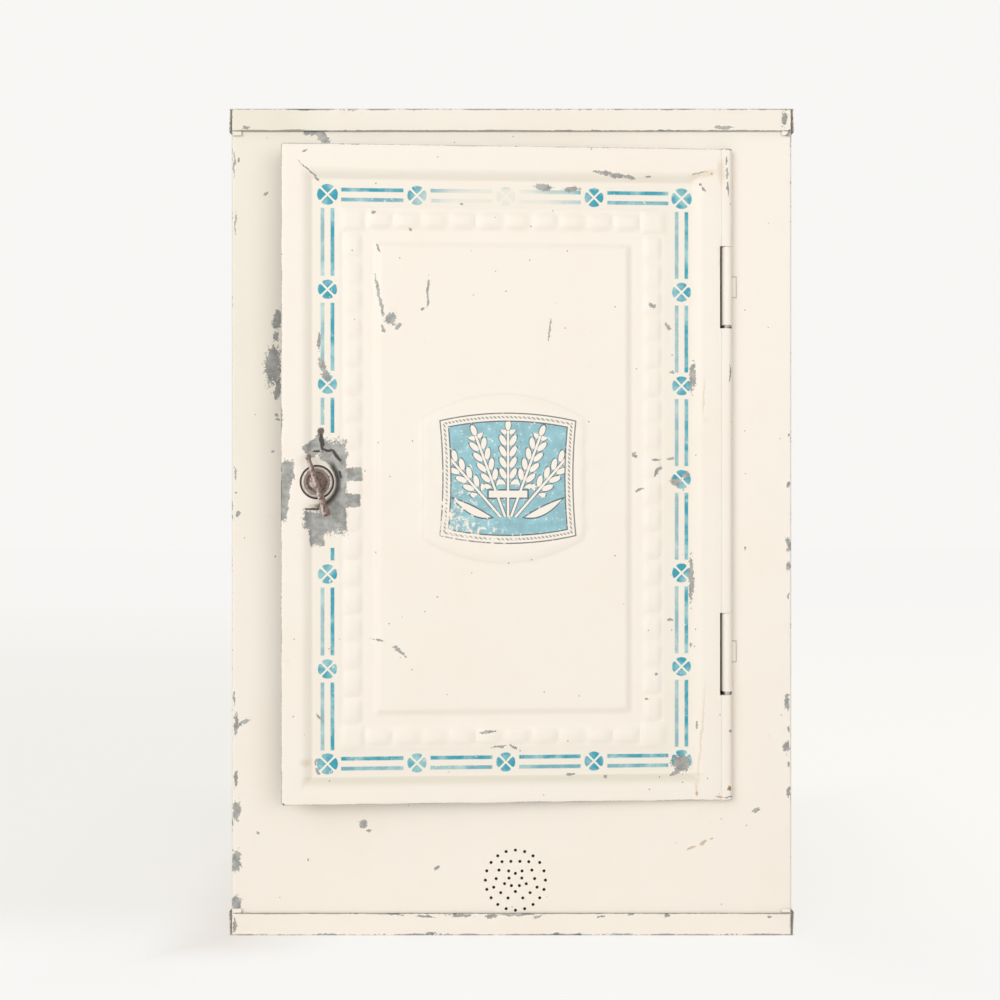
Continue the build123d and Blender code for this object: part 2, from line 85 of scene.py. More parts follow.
# Worn places in millimetres: centre across and up, half length, half width and turn in degrees.
# Those of the door count from the middle of its stencilled border, those of the case from its foot.
DOOR_CHIPS = (
    (-95.8, 138.7, 15.2, 1.1, -78), (-87.3, 121, 4.3, 4, 0), (-82, 115.3, 3, 1.7, 45),
    (-92.6, 114, 3.2, 1.3, -70), (-59.2, 140.6, 10.8, 0.9, -94), (33.7, 113.8, 8.3, 0.8, -98),
    (-95.8, -121.8, 4.6, 0.8, -10), (-80.7, -130.2, 5.7, 1.1, -40), (28.8, 222.8, 6.1, 2.4, -5),
    (50.2, 221.6, 6.1, 2, 5), (70.2, 234.4, 3.8, 0.8, -5), (76.3, 233.4, 5.3, 1.7, -6),
    (85.5, 232, 4.6, 1.5, -6), (94.8, 230.6, 4.6, 1.2, -8), (108.7, 231.1, 2.3, 0.7, 0),
    (-138.9, 86.4, 5.3, 2.3, -70), (-136.5, 79.4, 4.6, 3, -60), (-141.4, 104.3, 6.1, 1.2, 90),
    (134.9, -218, 7, 6.3, 0), (130.3, -225.1, 3.8, 1.9, 20), (-14, -192, 5.8, 1, 2),
    (-4.8, -203.8, 5.3, 0.8, 4), (5.8, -203.9, 3, 0.9, -40), (-149.3, 233.4, 9.1, 0.5, -42),
    (-143.5, 227.8, 2.8, 1.1, -50), (-151.5, 247.7, 2, 0.8, 30), (111.7, 132.8, 3.2, 1.5, -30),
    (124.1, 117.5, 2.9, 1.5, -60), (143.4, 78.4, 10.5, 2.2, 89), (138.8, 3.4, 3, 1.9, 60),
    (142.4, -76.3, 17, 1.8, 89), (114.7, 15.1, 3.2, 0.9, 0), (126.5, 16.3, 2.8, 1.4, 15),
    (116.4, 6.6, 4.6, 1.2, 55), (99.1, 18.9, 2.8, 1.6, -30), (102.5, -8.1, 3, 0.9, 30),
    (130.3, -2, 3.8, 2.7, 0), (169.6, 244, 3, 0.7, 88), (169.8, 234, 4, 0.9, 86), (170, 222.7, 6, 0.8, 92),
    (147.5, 234.1, 6.5, 0.5, 14), (149.4, 225.6, 1.5, 0.7, -45), (151.9, 221.8, 2, 0.7, -60),
    (-141, -180.5, 3.8, 0.9, -50), (-143.3, -213.7, 3, 0.8, 60), (-142.5, -221.3, 3, 1.2, -60),
    (-96.7, 174.5, 3.3, 0.9, -70), (-100.3, 202.4, 1.4, 1.2, 0), (-72.4, 189.8, 1.1, 1, 0),
    (-34, 209.4, 1.1, 1, 0), (-63.3, 129.1, 1.1, 1, 0), (127.4, 82.5, 1.4, 1.1, 0),
    (125.6, -107.6, 2.2, 1, 0), (142.6, -127.4, 1.8, 1, 90), (115.4, -149.1, 1.2, 1, 0),
    (108.3, -168.4, 1.3, 1, 0), (146.3, -188.2, 3.5, 0.5, 88), (172.4, -192.8, 1.3, 1.2, 0),
    (48.9, -225.2, 3.4, 0.9, 0), (75.9, -227, 1.2, 1, 0), (171.6, -236.7, 1.7, 1.6, 0),
    (171.8, 81.6, 6.5, 0.6, 90),
)
LATCH_BARE = (
    (-130.7, -5.6, 10.2, 34.7, 0), (-115.2, 3.2, 6.2, 5.2, 0), (-115.8, -16, 5.4, 4.9, 0),
    (-143.5, -37.8, 5.5, 12.9, 4), (-140, -32.5, 13, 6.5, -6), (-144, 25, 9, 5.5, 42),
    (-166.8, -8.5, 4, 22.5, -7), (-164.6, 6.5, 3.8, 7, 12),
)
LATCH_CRACK = (
    (-139.6, 29.5, 9, 1.5, -84), (-135.2, 22, 5.6, 1.1, -10), (-128.2, 17.5, 7, 1.3, -50),
    (-125.2, 3.1, 3.4, 1, -70), (-143.3, 20.8, 3.4, 0.9, 0), (-140, 36, 3, 2.4, 20), (-146, -23, 7, 0.9, 0),
)
DOOR_STAINS = (
    (165, 236, 3.4, 11, 0), (152, 233.7, 12, 3, 14), (149.5, -197, 1, 44, -4.4), (146, -236, 1.6, 5, 0),
    (-151, -214, 5, 4, 0), (165, 168, 2.5, 16, 0), (151.7, 63.9, 1, 15, -3),
)
DOOR_RUST = (
    (171.6, -236.7, 1.6, 1.8, 0), (157.6, 234.4, 1, 0.8, 0), (146, -240, 1, 2, 0), (165, -243.2, 5, 0.6, 0),
)
DOOR_DARK = (
    (-168.4, -245, 1.7, 1.6, 0), (171.7, -237, 1.2, 1.4, 0), (172, -243.2, 4, 0.6, 0),
)
FRONT_CHIPS = (
    (-180.9, 474.4, 7.7, 3.5, 80), (-182.1, 462.1, 4.6, 2.3, 80), (-184, 439.7, 14.7, 5.8, 85),
    (-180.5, 422, 8.5, 2.5, 80), (-182.1, 402.1, 1.5, 0.8, -30), (-180.2, 398.8, 1.7, 0.8, 20),
    (-184.4, 373.6, 0.9, 0.9, 0), (-153.5, 619.8, 6.2, 2.3, 0), (-145.4, 616, 6.6, 3.1, -45),
    (-189.8, 573.2, 2.8, 0.8, 30), (-213, 162, 8, 1.6, 88), (-207.6, 163.4, 6, 1.2, 30),
    (-212.5, 95.7, 7.7, 3.2, 88), (-212.5, 57.1, 7.7, 3.5, 88), (-212.5, 23.9, 5.8, 3.5, 88),
    (-114.2, 86, 3.1, 3.1, 0), (-109.2, 80.2, 1.9, 1.7, 0), (-195.9, 78.7, 1.3, 1.3, 0),
    (-156.6, 57.9, 0.8, 0.8, 0), (-57.9, 51.7, 2.5, 1.2, 30), (189, 96.4, 2.5, 1.9, 30),
    (212.9, 179.7, 6.2, 2, 88), (212.1, 145, 3.9, 2.3, 80), (213.7, 111.1, 3.9, 1.7, 88),
    (214.1, 131.9, 3.1, 0.9, 88), (-213.8, 596, 9, 0.7, 90), (-210.5, 598.7, 1.8, 1, 80),
    (-213.5, 549, 8, 0.6, 90), (-213, 357, 5, 0.8, 92), (-211.3, 325.4, 2.3, 1.6, 80),
    (-212.5, 341.4, 1, 0.8, 0), (-214, 183.6, 5, 0.8, 90), (-213, 120.4, 6, 1.2, 85),
    (214, 386.7, 1.5, 0.8, 80), (214, 347.7, 2.2, 1, 80), (213.6, 301.6, 5, 1.8, 88),
    (213.8, 285.4, 3.5, 1.5, 85), (213.8, 261.9, 2, 0.8, 80), (214.4, 159.3, 2.5, 0.8, 88),
    (180.5, 298.7, 2, 0.8, 80),
)
FRONT_RUST = (
    (138.4, 67.4, 3.4, 1, 20), (148.4, 71, 3.6, 1.4, 30), (154.5, 74.5, 1.4, 1.2, 0),
)
CAP_CHIPS = (
    (210.5, 630, 5.5, 2.2, 85), (213.5, 619, 4, 1.2, 60), (-214, 8, 5, 1.6, 85), (-38, 16.2, 9, 0.9, 0),
    (6, 16.2, 12, 0.8, 0), (-90, 16.4, 6, 0.8, 0), (92, 16.2, 3, 0.8, 0), (-65.6, 14.7, 6.2, 1.2, -4),
    (-14.7, 15, 4.6, 1.5, 5), (-42.4, 15.4, 3.1, 0.8, 0), (-61.7, 1.2, 4.6, 1.2, 0),
    (20.1, 15, 3.5, 1.2, 12), (69, 13.9, 2.5, 0.8, 0), (119.9, 15.7, 1.5, 1.5, 0), (198.9, 15, 2.3, 0.8, 0),
    (33.9, 1.2, 2.3, 1.2, 0), (52, 1.2, 3.5, 1.2, 0), (163.5, 623.3, 6.2, 1.4, 0),
    (-204.4, 623.3, 2.3, 1.2, 0), (-163.5, 637.2, 10.8, 0.9, 0), (-71, 637.9, 13.9, 0.8, 0),
    (129.6, 637.9, 15.4, 0.8, 0),
)
# Rings of holes in the vent: radius in millimetres, count and first angle in degrees
STAR_TIPS = (17.6, 5, 54)
VENT_RINGS = ((23.2, 20, 0), (14.9, 5, 103.5), (14.9, 5, 76.5), STAR_TIPS, (8.8, 5, 54), (5.2, 5, 90))


def length(description, default):
    """A size property in metres."""
    return FloatProperty(description=description, default=default, unit="LENGTH", precision=5)


def colour(description, default):
    """A colour property."""
    return FloatVectorProperty(description=description, default=default, subtype="COLOR", size=3)


class CabinetSizes(bpy.types.PropertyGroup):
    """Sizes of the pressed door and the latch."""

    door_reach: length("Hinge axis to the door's free edge", 0.3398)
    sheet: length("Thickness of the door sheet", 0.0008)
    roll: length("Outer radius of the rolled hinge edge", 0.004)
    fold: length("Bend radius of the turned edges", 0.0012)
    turned: length("Depth of the turned edges", 0.008)
    drop: length("How far the pressing sits below the door's middle", 0.003)
    border: length("Width of the flat border", 0.0145)
    slope: length("Width of the round slope inside the border", 0.0085)
    recess: length("Depth of the stencilled band", 0.004)
    bead_inset: length("Sheet edge to the bead moulding", 0.0455)
    bead_strip: length("Width of the bead moulding", 0.016)
    bead_rise: length("Height of a bead", 0.0022)
    field_inset: length("Sheet edge to the raised field", 0.069)
    field_slope: length("Width of the slope round the field", 0.006)
    field_rise: length("Height of the field over the band", 0.0025)
    cartouche_width: length("Half width of the cartouche", 0.0605)
    cartouche_height: length("Half height of the cartouche", 0.0635)
    cartouche_shoulder: length("Half height at the cartouche's sides", 0.046)
    cartouche_rise: length("Height of the cartouche over the field", 0.0014)
    boss: length("Radius of the latch boss", 0.017)
    boss_slope: length("Width of the slope round the boss", 0.004)
    boss_shift: length("How far the boss's middle lies outside the latch", 0.0034)
    notch: length("Height of a hinge notch in the rolled edge", 0.063)
    plate: length("Radius of the latch plate", 0.0117)


class CabinetColours(bpy.types.PropertyGroup):
    """Colours of the paint, the stencil and the metal."""

    cream: colour("The enamel", (0.93, 0.858, 0.762))
    yellowed: colour("The enamel where it has aged most", (0.87, 0.76, 0.58))
    # This tone is also painted as shade: on the left of the front beside the door, on the top slope of the
    # door's border and round the foot of the cartouche.
    dingy: colour("The enamel where dirt has settled", (0.70, 0.655, 0.50))
    bare: colour("Grey sheet under the chips", (0.37, 0.365, 0.34))
    # This dark colour is also painted as shadow and shade: in the hinge notches, the vent holes, the gap
    # round the latch plate, on the right of the latch boss, where the door's sheet starts to roll, and on
    # chips beside the door.
    rim: colour("Dark line round worn edges", (0.028, 0.023, 0.018))
    rust: colour("Rust specks", (0.46, 0.25, 0.06))
    stain: colour("Yellow-brown stains", (0.62, 0.42, 0.20))
    stencil_deep: colour("Stencil where it is full", (0.030, 0.335, 0.435))
    stencil_pale: colour("Stencil where it has worn thin", (0.25, 0.58, 0.60))
    medallion: colour("Blue ground of the medallion", (0.205, 0.43, 0.485))
    medallion_line: colour("Dark lines of the medallion", (0.045, 0.05, 0.055))
    zinc: colour("Dull zinc coat inside", (0.46, 0.47, 0.46))
    steel: colour("Plain steel rod", (0.40, 0.39, 0.37))
    brown: colour("Brown of the old latch", (0.135, 0.062, 0.044))
    plating: colour("Bright plating left on the latch", (0.60, 0.52, 0.46))


class Wire:
    """One socket of a material. Sums on wires add Math nodes, and `add` makes any other node."""

    def __init__(self, tree, socket=None):
        self.tree = tree
        self.socket = socket

    def add(self, kind, settings, inputs, out=0):
        """A node of one kind: its settings come first, then the values or links of its sockets."""
        node = self.tree.nodes.new("ShaderNode" + kind)
        for name, setting in settings.items():
            setattr(node, name, setting)
        for key, value in inputs.items():
            if isinstance(value, Wire):
                self.tree.links.new(value.socket, node.inputs[key])
            else:
                node.inputs[key].default_value = value
        return Wire(self.tree, node.outputs[out] if node.outputs else None)

    def other(self, out):
        """Another output of the same node."""
        return Wire(self.tree, self.socket.node.outputs[out])

    def math(self, operation, *values):
        return self.add("Math", {"operation": operation}, dict(enumerate(values)))

    def with_other(self, operation, other):
        """This wire and another wire or number in one sum."""
        return self.math(operation, self, other)

    __add__ = __radd__ = partialmethod(with_other, "ADD")
    __sub__ = partialmethod(with_other, "SUBTRACT")
    __mul__ = __rmul__ = partialmethod(with_other, "MULTIPLY")
    __truediv__ = partialmethod(with_other, "DIVIDE")
    __lt__ = partialmethod(with_other, "LESS_THAN")
    __gt__ = partialmethod(with_other, "GREATER_THAN")
    least = partialmethod(with_other, "MINIMUM")
    most = partialmethod(with_other, "MAXIMUM")

    def __rsub__(self, other):
        return self.math("SUBTRACT", other, self)

    def __abs__(self):
        return self.math("ABSOLUTE", self)

    def fade(self, start, end):
        """0 at start and 1 at end, with a soft step between."""
        settings = {"interpolation_type": "SMOOTHSTEP"}
        return self.add("MapRange", settings, {"Value": self, "From Min": start, "From Max": end})

    def wrap(self, pitch):
        """Distance from the nearest of places one pitch apart."""
        return self.math("WRAP", self, pitch / 2, -pitch / 2)


def rgba(shade):
    return (*shade, 1)


def new_finish(name):
    """An empty material and a wire that makes its nodes."""
    material = bpy.data.materials.new(name)
    material.use_nodes = True
    material.node_tree.nodes.clear()
    return material, Wire(material.node_tree)


def millimetres(wire, shift=(0, 0, 0), turn=0):
    """Object coordinates in millimetres, turned about Z and moved: the vector and its three parts."""
    coords = wire.add("TexCoord", {}, {}, "Object")
    scaled = {"Vector": coords, "Location": shift, "Rotation": (0, 0, turn), "Scale": (MM, MM, MM)}
    place = wire.add("Mapping", {"vector_type": "POINT"}, scaled)
    x = wire.add("SeparateXYZ", {}, {"Vector": place})
    return place, x, x.other("Y"), x.other("Z")


def noise(wire, place, pitch, detail=2, roughness=0.5, out=0):
    """Cloudy noise from 0 to 1 whose patches are about one pitch across."""
    sockets = {"Vector": place, "Scale": 1 / pitch, "Detail": detail, "Roughness": roughness}
    return wire.add("TexNoise", {}, sockets, out)


def mix(wire, share, first, second):
    """The second colour over the first, by a share."""
    settings = {"data_type": "RGBA", "clamp_factor": True}
    first = first if isinstance(first, Wire) else rgba(first)
    second = second if isinstance(second, Wire) else rgba(second)
    return wire.add("Mix", settings, {0: share, 6: first, 7: second}, 2)


def door_place(wire):
    """Object coordinates in millimetres from the middle of the door's stencil: the vector, across and up."""
    turned = Vector((along.dot(hinge_place), -outward.dot(hinge_place), 0))
    place, across, _, up = millimetres(wire, tuple((-turned - stencil_middle) * MM), -ajar)
    return place, across, up


def round_latch(across, up):
    """Across, up and outward distance from the latch's axis."""
    from_x = across - (latch_u - stencil_middle.x) * MM
    from_z = up - (latch_place.z - stencil_middle.z) * MM
    return from_x, from_z, from_x.math("SQRT", from_x * from_x + from_z * from_z)


def flat_place(wire, place, across, up, wobble):
    """Across and up as one vector, pushed about a little so that outlines on it turn ragged."""
    flat = wire.add("CombineXYZ", {}, {"X": across, "Y": up})
    push = noise(wire, place, 7, 4, 0.65, "Color")
    push = wire.add("VectorMath", {"operation": "SUBTRACT"}, {0: push, 1: (0.5, 0.5, 0.5)})
    return wire.add("VectorMath", {"operation": "MULTIPLY_ADD"}, {0: push, 1: (wobble, wobble, 0), 2: flat})


def worn(wire, flat, marks, square=False):
    """Distance from the nearest listed mark, round or square: 0 in its middle and 1 on its edge."""
    nearest = wire.math("ADD", 9, 0)
    for x, z, half_length, half_width, turn in marks:
        inside = {"Vector": flat, "Location": (x, z, 0), "Rotation": (0, 0, radians(turn))}
        inside["Scale"] = (half_length, half_width, 1)
        local = wire.add("Mapping", {"vector_type": "TEXTURE"}, inside)
        if square:
            x = wire.add("SeparateXYZ", {}, {"Vector": local})
            reach = abs(x).most(abs(x.other("Y")))
        else:
            reach = wire.add("VectorMath", {"operation": "LENGTH"}, {0: local}, "Value")
        nearest = nearest.least(reach)
    return nearest


def specks(wire, place, pitch, size, share):
    """Scattered round specks: their pitch, their size in it, and the share of places that have one."""
    cell = wire.add("TexVoronoi", {}, {"Vector": place, "Scale": 1 / pitch, "Randomness": 1}, "Distance")
    chance = wire.add("SeparateColor", {}, {"Color": cell.other("Color")})
    return cell.fade(size, size * 0.6) * (chance < share)


def finish(wire, surface, height):
    """Closes a material: the shader's sockets, and a bump height in millimetres."""
    bump = wire.add("Bump", {}, {"Strength": 1, "Distance": 1 / MM, "Height": height})
    shader = wire.add("BsdfPrincipled", {}, {"Normal": bump, **surface})
    wire.add("OutputMaterial", {}, {"Surface": shader})


def enamel(wire, place):
    """Aged cream enamel: its colour, roughness and a fine bump."""
    colours = bpy.context.scene.cabinet_colours
    broad = noise(wire, place, 90, 3)
    cloud = noise(wire, place, 22, 4)
    age = broad.fade(0.45, 0.85) * 0.20 + cloud.fade(0.5, 0.9) * 0.10
    shade = mix(wire, age, colours.cream, colours.yellowed)
    stained = noise(wire, place, 13, 3, 0.6).fade(0.66, 0.80) * broad.fade(0.45, 0.7)
    shade = mix(wire, stained * 0.16, shade, colours.stain)
    peel = noise(wire, place, 1.6, 2)
    return shade, 0.38 + cloud * 0.16, peel * 0.03 + broad * 0.7


def chipped(wire, place, paint, bare_share, dark_and_shade_share, rust_share):
    """Lays worn metal, dark rims and painted shade, and rust over paint that is given as colour and
    roughness.
    """
    colours = bpy.context.scene.cabinet_colours
    shade, roughness = paint
    tone = noise(wire, place, 6, 4, 0.65).fade(0.35, 0.65)
    dull, bright = ([part * share for part in colours.bare] for share in (0.75, 1.15))
    shade = mix(wire, bare_share, shade, mix(wire, tone, dull, bright))
    shade = mix(wire, dark_and_shade_share, shade, colours.rim)
    shade = mix(wire, rust_share, shade, colours.rust)
    metal = bare_share * (1 - rust_share)
    return {
        "Base Color": shade,
        "Roughness": roughness + metal * 0.12,
        "Metallic": metal * 0.35,
        "Specular IOR Level": 0.35,
    }


def chips(wire, flat, grit, marks, ragged):
    """Listed worn places with torn edges: the bare share, and the share of a broken dark edge line."""
    reach = worn(wire, flat, marks) + (grit - 0.5) * ragged
    return reach.fade(1.04, 0.96), abs(reach - 1.03).fade(0.10, 0.03) * grit.fade(0.46, 0.6) * 0.55


def hinge_shadow_and_line(x, z):
    """Painted shadow: black in the hinge notches, where there is only a gap; and the thin line round each
    hinge's tongue.
    """
    dirt_and_shade = []
    left, right, roll_side, foot = -9.5, -4.15, 4.5, 3.2
    across = x - hinge_place.x * MM
    for node in ("upper_hinge_leaf", "lower_hinge_leaf"):
        low, high = (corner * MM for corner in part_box(node))
        beside = (across > left) * (across < right) * (z > low.z - foot) * (z < high.z + 0.3)
        below = (across > left) * (across < roll_side) * (z > low.z - foot) * (z < low.z)
        tongue = (x - high.x).most(abs(z - (low.z + high.z) / 2) - 8)
        line = abs(tongue).fade(0.7, 0.2) * (across > 4) * 0.4
        dirt_and_shade.append(beside.most(below).most(line))
    return reduce(Wire.most, dirt_and_shade)


def vent_hole_shade(x, z):
    """Painted shade in the holes of the vent and just round them; the ring of star tips has none at its
    foot.
    """
    across, up = x - vent_x * MM, z - vent_z * MM
    reach = x.math("SQRT", across * across + up * up)
    angle = x.math("ARCTAN2", up, across)
    hole_shades = []
    for ring in VENT_RINGS:
        radius, count, start = ring
        turn = (angle - radians(start)).wrap(tau / count)
        apart = reach * reach + radius**2 - turn.math("COSINE", turn) * reach * (2 * radius)
        hole_shades.append(apart.fade(1.6, 1.2) * ((up > -16) if ring is STAR_TIPS else 1))
    return reduce(Wire.most, hole_shades)


def case_paint(name, edges, marks, lines, spots):
    """Cream enamel on the case, worn along its edges and in listed places, with painted shade in places and
    bare zinc inside.
    """
    material, wire = new_finish(name)
    place, x, y, z = millimetres(wire)
    shade, roughness, height = enamel(wire, place)
    front = y < case_front * MM + 4
    # Painted shade on the left of the front beside the door's free edge, stronger towards the top; the case
    # is also a little darker from just under the top cap upward.
    dull = x.fade(-130, -185) * front * (0.05 + z.fade(200, 480) * 0.28)
    dull = dull + z.fade(610, 622) * 0.12
    shade = mix(wire, dull, shade, bpy.context.scene.cabinet_colours.dingy)
    grit = noise(wire, place, 2, 5, 0.75)
    patch = noise(wire, place, 26, 4)
    flat = flat_place(wire, place, x, z, 6)
    listed, torn = chips(wire, flat, grit, marks, 3.4)
    edge = edges(x, y, z)
    edge_wear = (edge + (grit - 0.5) * 7 + (0.60 - patch) * 10).fade(1, 0.3)
    dots = specks(wire, place, 9, 0.07, 0.16)
    bare = (listed * front).most(edge_wear)
    line = (edge + (patch - lines) * 4 + (grit - 0.5) * 2).fade(0.9, 0.2) * 0.62
    spotted = (worn(wire, flat, spots) + (grit - 0.5) * 3).fade(1.2, 0.6) * front * 0.6
    rust = specks(wire, place, 61, 0.022, 0.30).most(spotted)
    # Painted shade: listed chips near the latch's height darkened, black in the hinge notches and dark in
    # the vent holes.
    shaded = listed * z.fade(395, 415) * z.fade(520, 500) * 0.32
    dirt_and_shade = torn.most(shaded).most(hinge_shadow_and_line(x, z)).most(vent_hole_shade(x, z))
    dark = line.most(dirt_and_shade * front).most(dots * 0.6)
    surface = chipped(wire, place, (shade, roughness), bare, dark, rust)
    inside = (abs(x) < wall_side * MM - 0.4) * (abs(y) < -case_front * MM - 0.4)
    inside = inside * (z < case_top * MM - 0.4) * (z > 0.4)
    zinc_shade, zinc_rough = zinc(wire, place)
    surface["Base Color"] = mix(wire, inside, surface["Base Color"], zinc_shade)
    surface["Roughness"] = surface["Roughness"] * (1 - inside) + zinc_rough * inside
    surface["Metallic"] = surface["Metallic"] * (1 - inside) + inside * 0.7
    finish(wire, surface, height)
    return material


def zinc(wire, place):
    """Dull zinc-coated sheet with its faint spangle: colour and roughness."""
    colours = bpy.context.scene.cabinet_colours
    spangle = wire.add("TexVoronoi", {}, {"Vector": place, "Scale": 1 / 11}, "Color")
    tone = wire.add("SeparateColor", {}, {"Color": spangle})
    cloud = noise(wire, place, 30, 4)
    dull = [part * 0.72 for part in colours.zinc]
    shade = mix(wire, tone * 0.35 + cloud.fade(0.35, 0.75) * 0.5, colours.zinc, dull)
    return shade, 0.36 + tone * 0.1 + cloud * 0.12


def zinc_sheet():
    """Material of the shelves and ledges."""
    colours = bpy.context.scene.cabinet_colours
    material, wire = new_finish("zinc_sheet")
    place = millimetres(wire)[0]
    shade, roughness = zinc(wire, place)
    scratch = noise(wire, place, 3, 3, 0.6)
    spots = specks(wire, place, 17, 0.05, 0.2)
    shade = mix(wire, spots * 0.6, shade, colours.rust)
    surface = {"Base Color": shade, "Roughness": roughness, "Metallic": 0.8}
    finish(wire, surface, scratch * 0.05)
    return material


def steel_rod():
    """Material of the hinge pins."""
    colours = bpy.context.scene.cabinet_colours
    material, wire = new_finish("steel_rod")
    place = millimetres(wire)[0]
    cloud = noise(wire, place, 5, 4, 0.6)
    shade = mix(wire, cloud.fade(0.5, 0.75), colours.steel, colours.brown)
    surface = {"Base Color": shade, "Roughness": 0.3 + cloud * 0.3, "Metallic": 0.9}
    finish(wire, surface, cloud * 0.03)
    return material


def aged_steel(name, plating_and_highlight):
    """Brown old steel of the latch, with plating, and a painted highlight on the thumb turn, where a share
    says so.
    """
    colours = bpy.context.scene.cabinet_colours
    material, wire = new_finish(name)
    place, across, up = door_place(wire)
    from_x, from_z, ring = round_latch(across, up)
    cloud = noise(wire, place, 2.6, 4, 0.65)
    grain = noise(wire, place, 0.8, 3, 0.7)
    bright = plating_and_highlight(cloud, from_x, from_z, ring)
    dark = [part * 0.30 for part in colours.brown]
    shade = mix(wire, grain.fade(0.35, 0.58), dark, colours.brown)
    shade = mix(wire, bright, shade, colours.plating)
    surface = {"Base Color": shade, "Roughness": 0.60 - bright * 0.2, "Metallic": 0.15 + bright * 0.35}
    finish(wire, surface, grain * 0.08 + cloud * 0.1)
    return material


def plate_bright(cloud, from_x, from_z, ring):
    """Plating of the latch plate: most of its outer ring, and less within."""
    arcs = abs(ring - 7.5).fade(0.8, 0.3) * cloud.fade(0.60, 0.46)
    return ring.fade(7.6, 8.8).most(0.40) * (1 - arcs * 0.8) * cloud.fade(0.24, 0.50) * 0.92


def turn_highlight(cloud, from_x, from_z, ring):
    """Painted highlight of the thumb turn: plating colour along its left side, the side the key lamp lights,
    over faint patchy plating.
    """
    lean = radians(LATCH_LEAN)
    beside = from_x * cos(lean) + from_z * sin(lean)
    return (0.2 + beside.fade(0.6, -1.2) * 0.6) * cloud.fade(0.36, 0.54)


def hidden_bright(cloud, from_x, from_z, ring):
    """Plating of the works behind the door, left in patches."""
    return cloud.fade(0.45, 0.65) * 0.7


def stencil(wire, place, across, up):
    """The stencilled border, flowers of four petals with pairs of lines between: its cover and its depth."""
    half_across, half_up = 135.1, 215.4
    flower_size, flower_gap, diagonal = 7.45, 0.62, 0.7071
    line_half, line_offset, line_start = 1.55, 3.75, 9.8
    rail = abs(up) - half_up
    post = abs(across) - half_across
    print_edge = (noise(wire, place, 2.2, 3, 0.6) - 0.5) * 0.7
    drawn = []
    for run, offset, beside, reach, count, thin in (
        (across, rail, up, half_across, 2, 0.16), (up, post, across, half_up, 3, 0.30),
    ):
        local = run.wrap(reach / count)
        radius = local.math("SQRT", local * local + offset * offset)
        gap = abs(local + offset).least(abs(local - offset)) * diagonal - flower_gap
        size = flower_size + abs(run).fade(reach - 20, reach - 10) * 0.6
        petals = radius.math("SMOOTH_MIN", size - radius, gap * 1.6, 3.4) + print_edge
        flower = petals.fade(-0.1, 0.5) * abs(run).fade(reach + 9.2, reach + 8.8)
        line = line_half - abs(abs(offset) - line_offset) + print_edge * 0.6
        line = line.fade(-0.15, 0.4) * abs(local).fade(line_start, line_start + 0.9)
        line = line * abs(run).fade(reach + 0.2, reach - 0.2)
        pale = (offset * beside).fade(100, -100) * thin
        drawn.append(flower.most(line * (1 - pale)))
    depth = noise(wire, place, 15, 3, 0.6).fade(0.27, 0.61)
    flat = wire.add("CombineXYZ", {}, {"X": across, "Y": up})
    faded = worn(wire, flat, ((-6, 212, 68, 16, 0),))
    cover = reduce(Wire.most, drawn) * (0.78 + depth * 0.22) * (0.12 + faded.fade(0.45, 1.15) * 0.88)
    rubbed = noise(wire, place, 5, 4, 0.7).fade(0.30, 0.40)
    return cover * rubbed, depth


def medallion(wire, colours, shade, place, across, up):
    """A generic barrel-shaped medallion: a worn blue ground, cream rims and a sheaf of wheat."""
    middle_x, middle_y, half = 1.5, 0.7, 50
    x = abs(across - middle_x)
    y = up - middle_y
    bulge = x * x * 0.0022
    side = x - half - (y * y) * 0.0012
    shape = side.most(abs(y) + bulge - half)
    ground = shape.fade(-6.2, -6.8)
    wear = (noise(wire, place, 4, 5, 0.7) + (across + up).fade(-20, -75) * -0.10).fade(0.33, 0.43)
    tone = noise(wire, place, 9, 4, 0.6).fade(0.3, 0.75)
    pale = [part * 1.4 for part in colours.medallion]
    blue = mix(wire, tone, colours.medallion, pale)
    shade = mix(wire, ground * wear * 0.92, shade, blue)

    # Ears of wheat, mirrored about the middle one: lean in degrees, and foot beside the middle
    pitch, slant, kernel_long, kernel_short, tip_long = 8.4, radians(27), 4.9, 2.3, 4.6
    rise = y + 30
    ears = []
    for lean, foot in ((0, 0), (20, 2), (41, 5)):
        turn = radians(lean)
        stem = (x - foot) * sin(turn) + rise * cos(turn)
        off = (x - foot) * cos(turn) - rise * sin(turn)
        local = stem.wrap(pitch)
        beside = abs(off) - 3.9
        long_way = local * cos(slant) + beside * sin(slant)
        short_way = beside * cos(slant) - local * sin(slant)
        kernel = (long_way * long_way) / kernel_long**2 + (short_way * short_way) / kernel_short**2
        ear = stem.fade(24.8, 25.4) * stem.fade(67.4, 66.8)
        tip = (off * off) / kernel_short**2 + (stem - 70.5) * (stem - 70.5) / tip_long**2
        stalk = abs(off) / 1.1 + (1 - stem.fade(0, 1)) * 9 + stem.fade(66, 67) * 9
        ears.append((kernel + (1 - ear) * 9).least(tip).least(stalk))

    # The band that ties them, two leaves, and the lines round everything
    band = (abs(y + 12) - 3).most(x - 15) * 0.45 + 1
    leaf_x = x - 27
    leaf_y = y + 31 - x * x * 0.009
    leaf = (abs(leaf_y) - 3.4 + leaf_x * leaf_x * 0.0151) * 0.45 + 1
    ears = reduce(Wire.least, (*ears, band, leaf))
    shade = mix(wire, ears.fade(1, 0.85) * ground, shade, colours.cream)
    outlines = abs(ears - 1.08).fade(0.34, 0.16) * ground
    rims = abs(shape + 6.6).least(abs(shape + 0.6)).fade(0.65, 0.3)
    beading = abs(shape + 3.6).fade(1, 0.7) * abs((up + across).wrap(3.2)).fade(1.1, 0.8) * 0.7
    return mix(wire, outlines.most(rims).most(beading) * wear * 0.85, shade, colours.medallion_line)


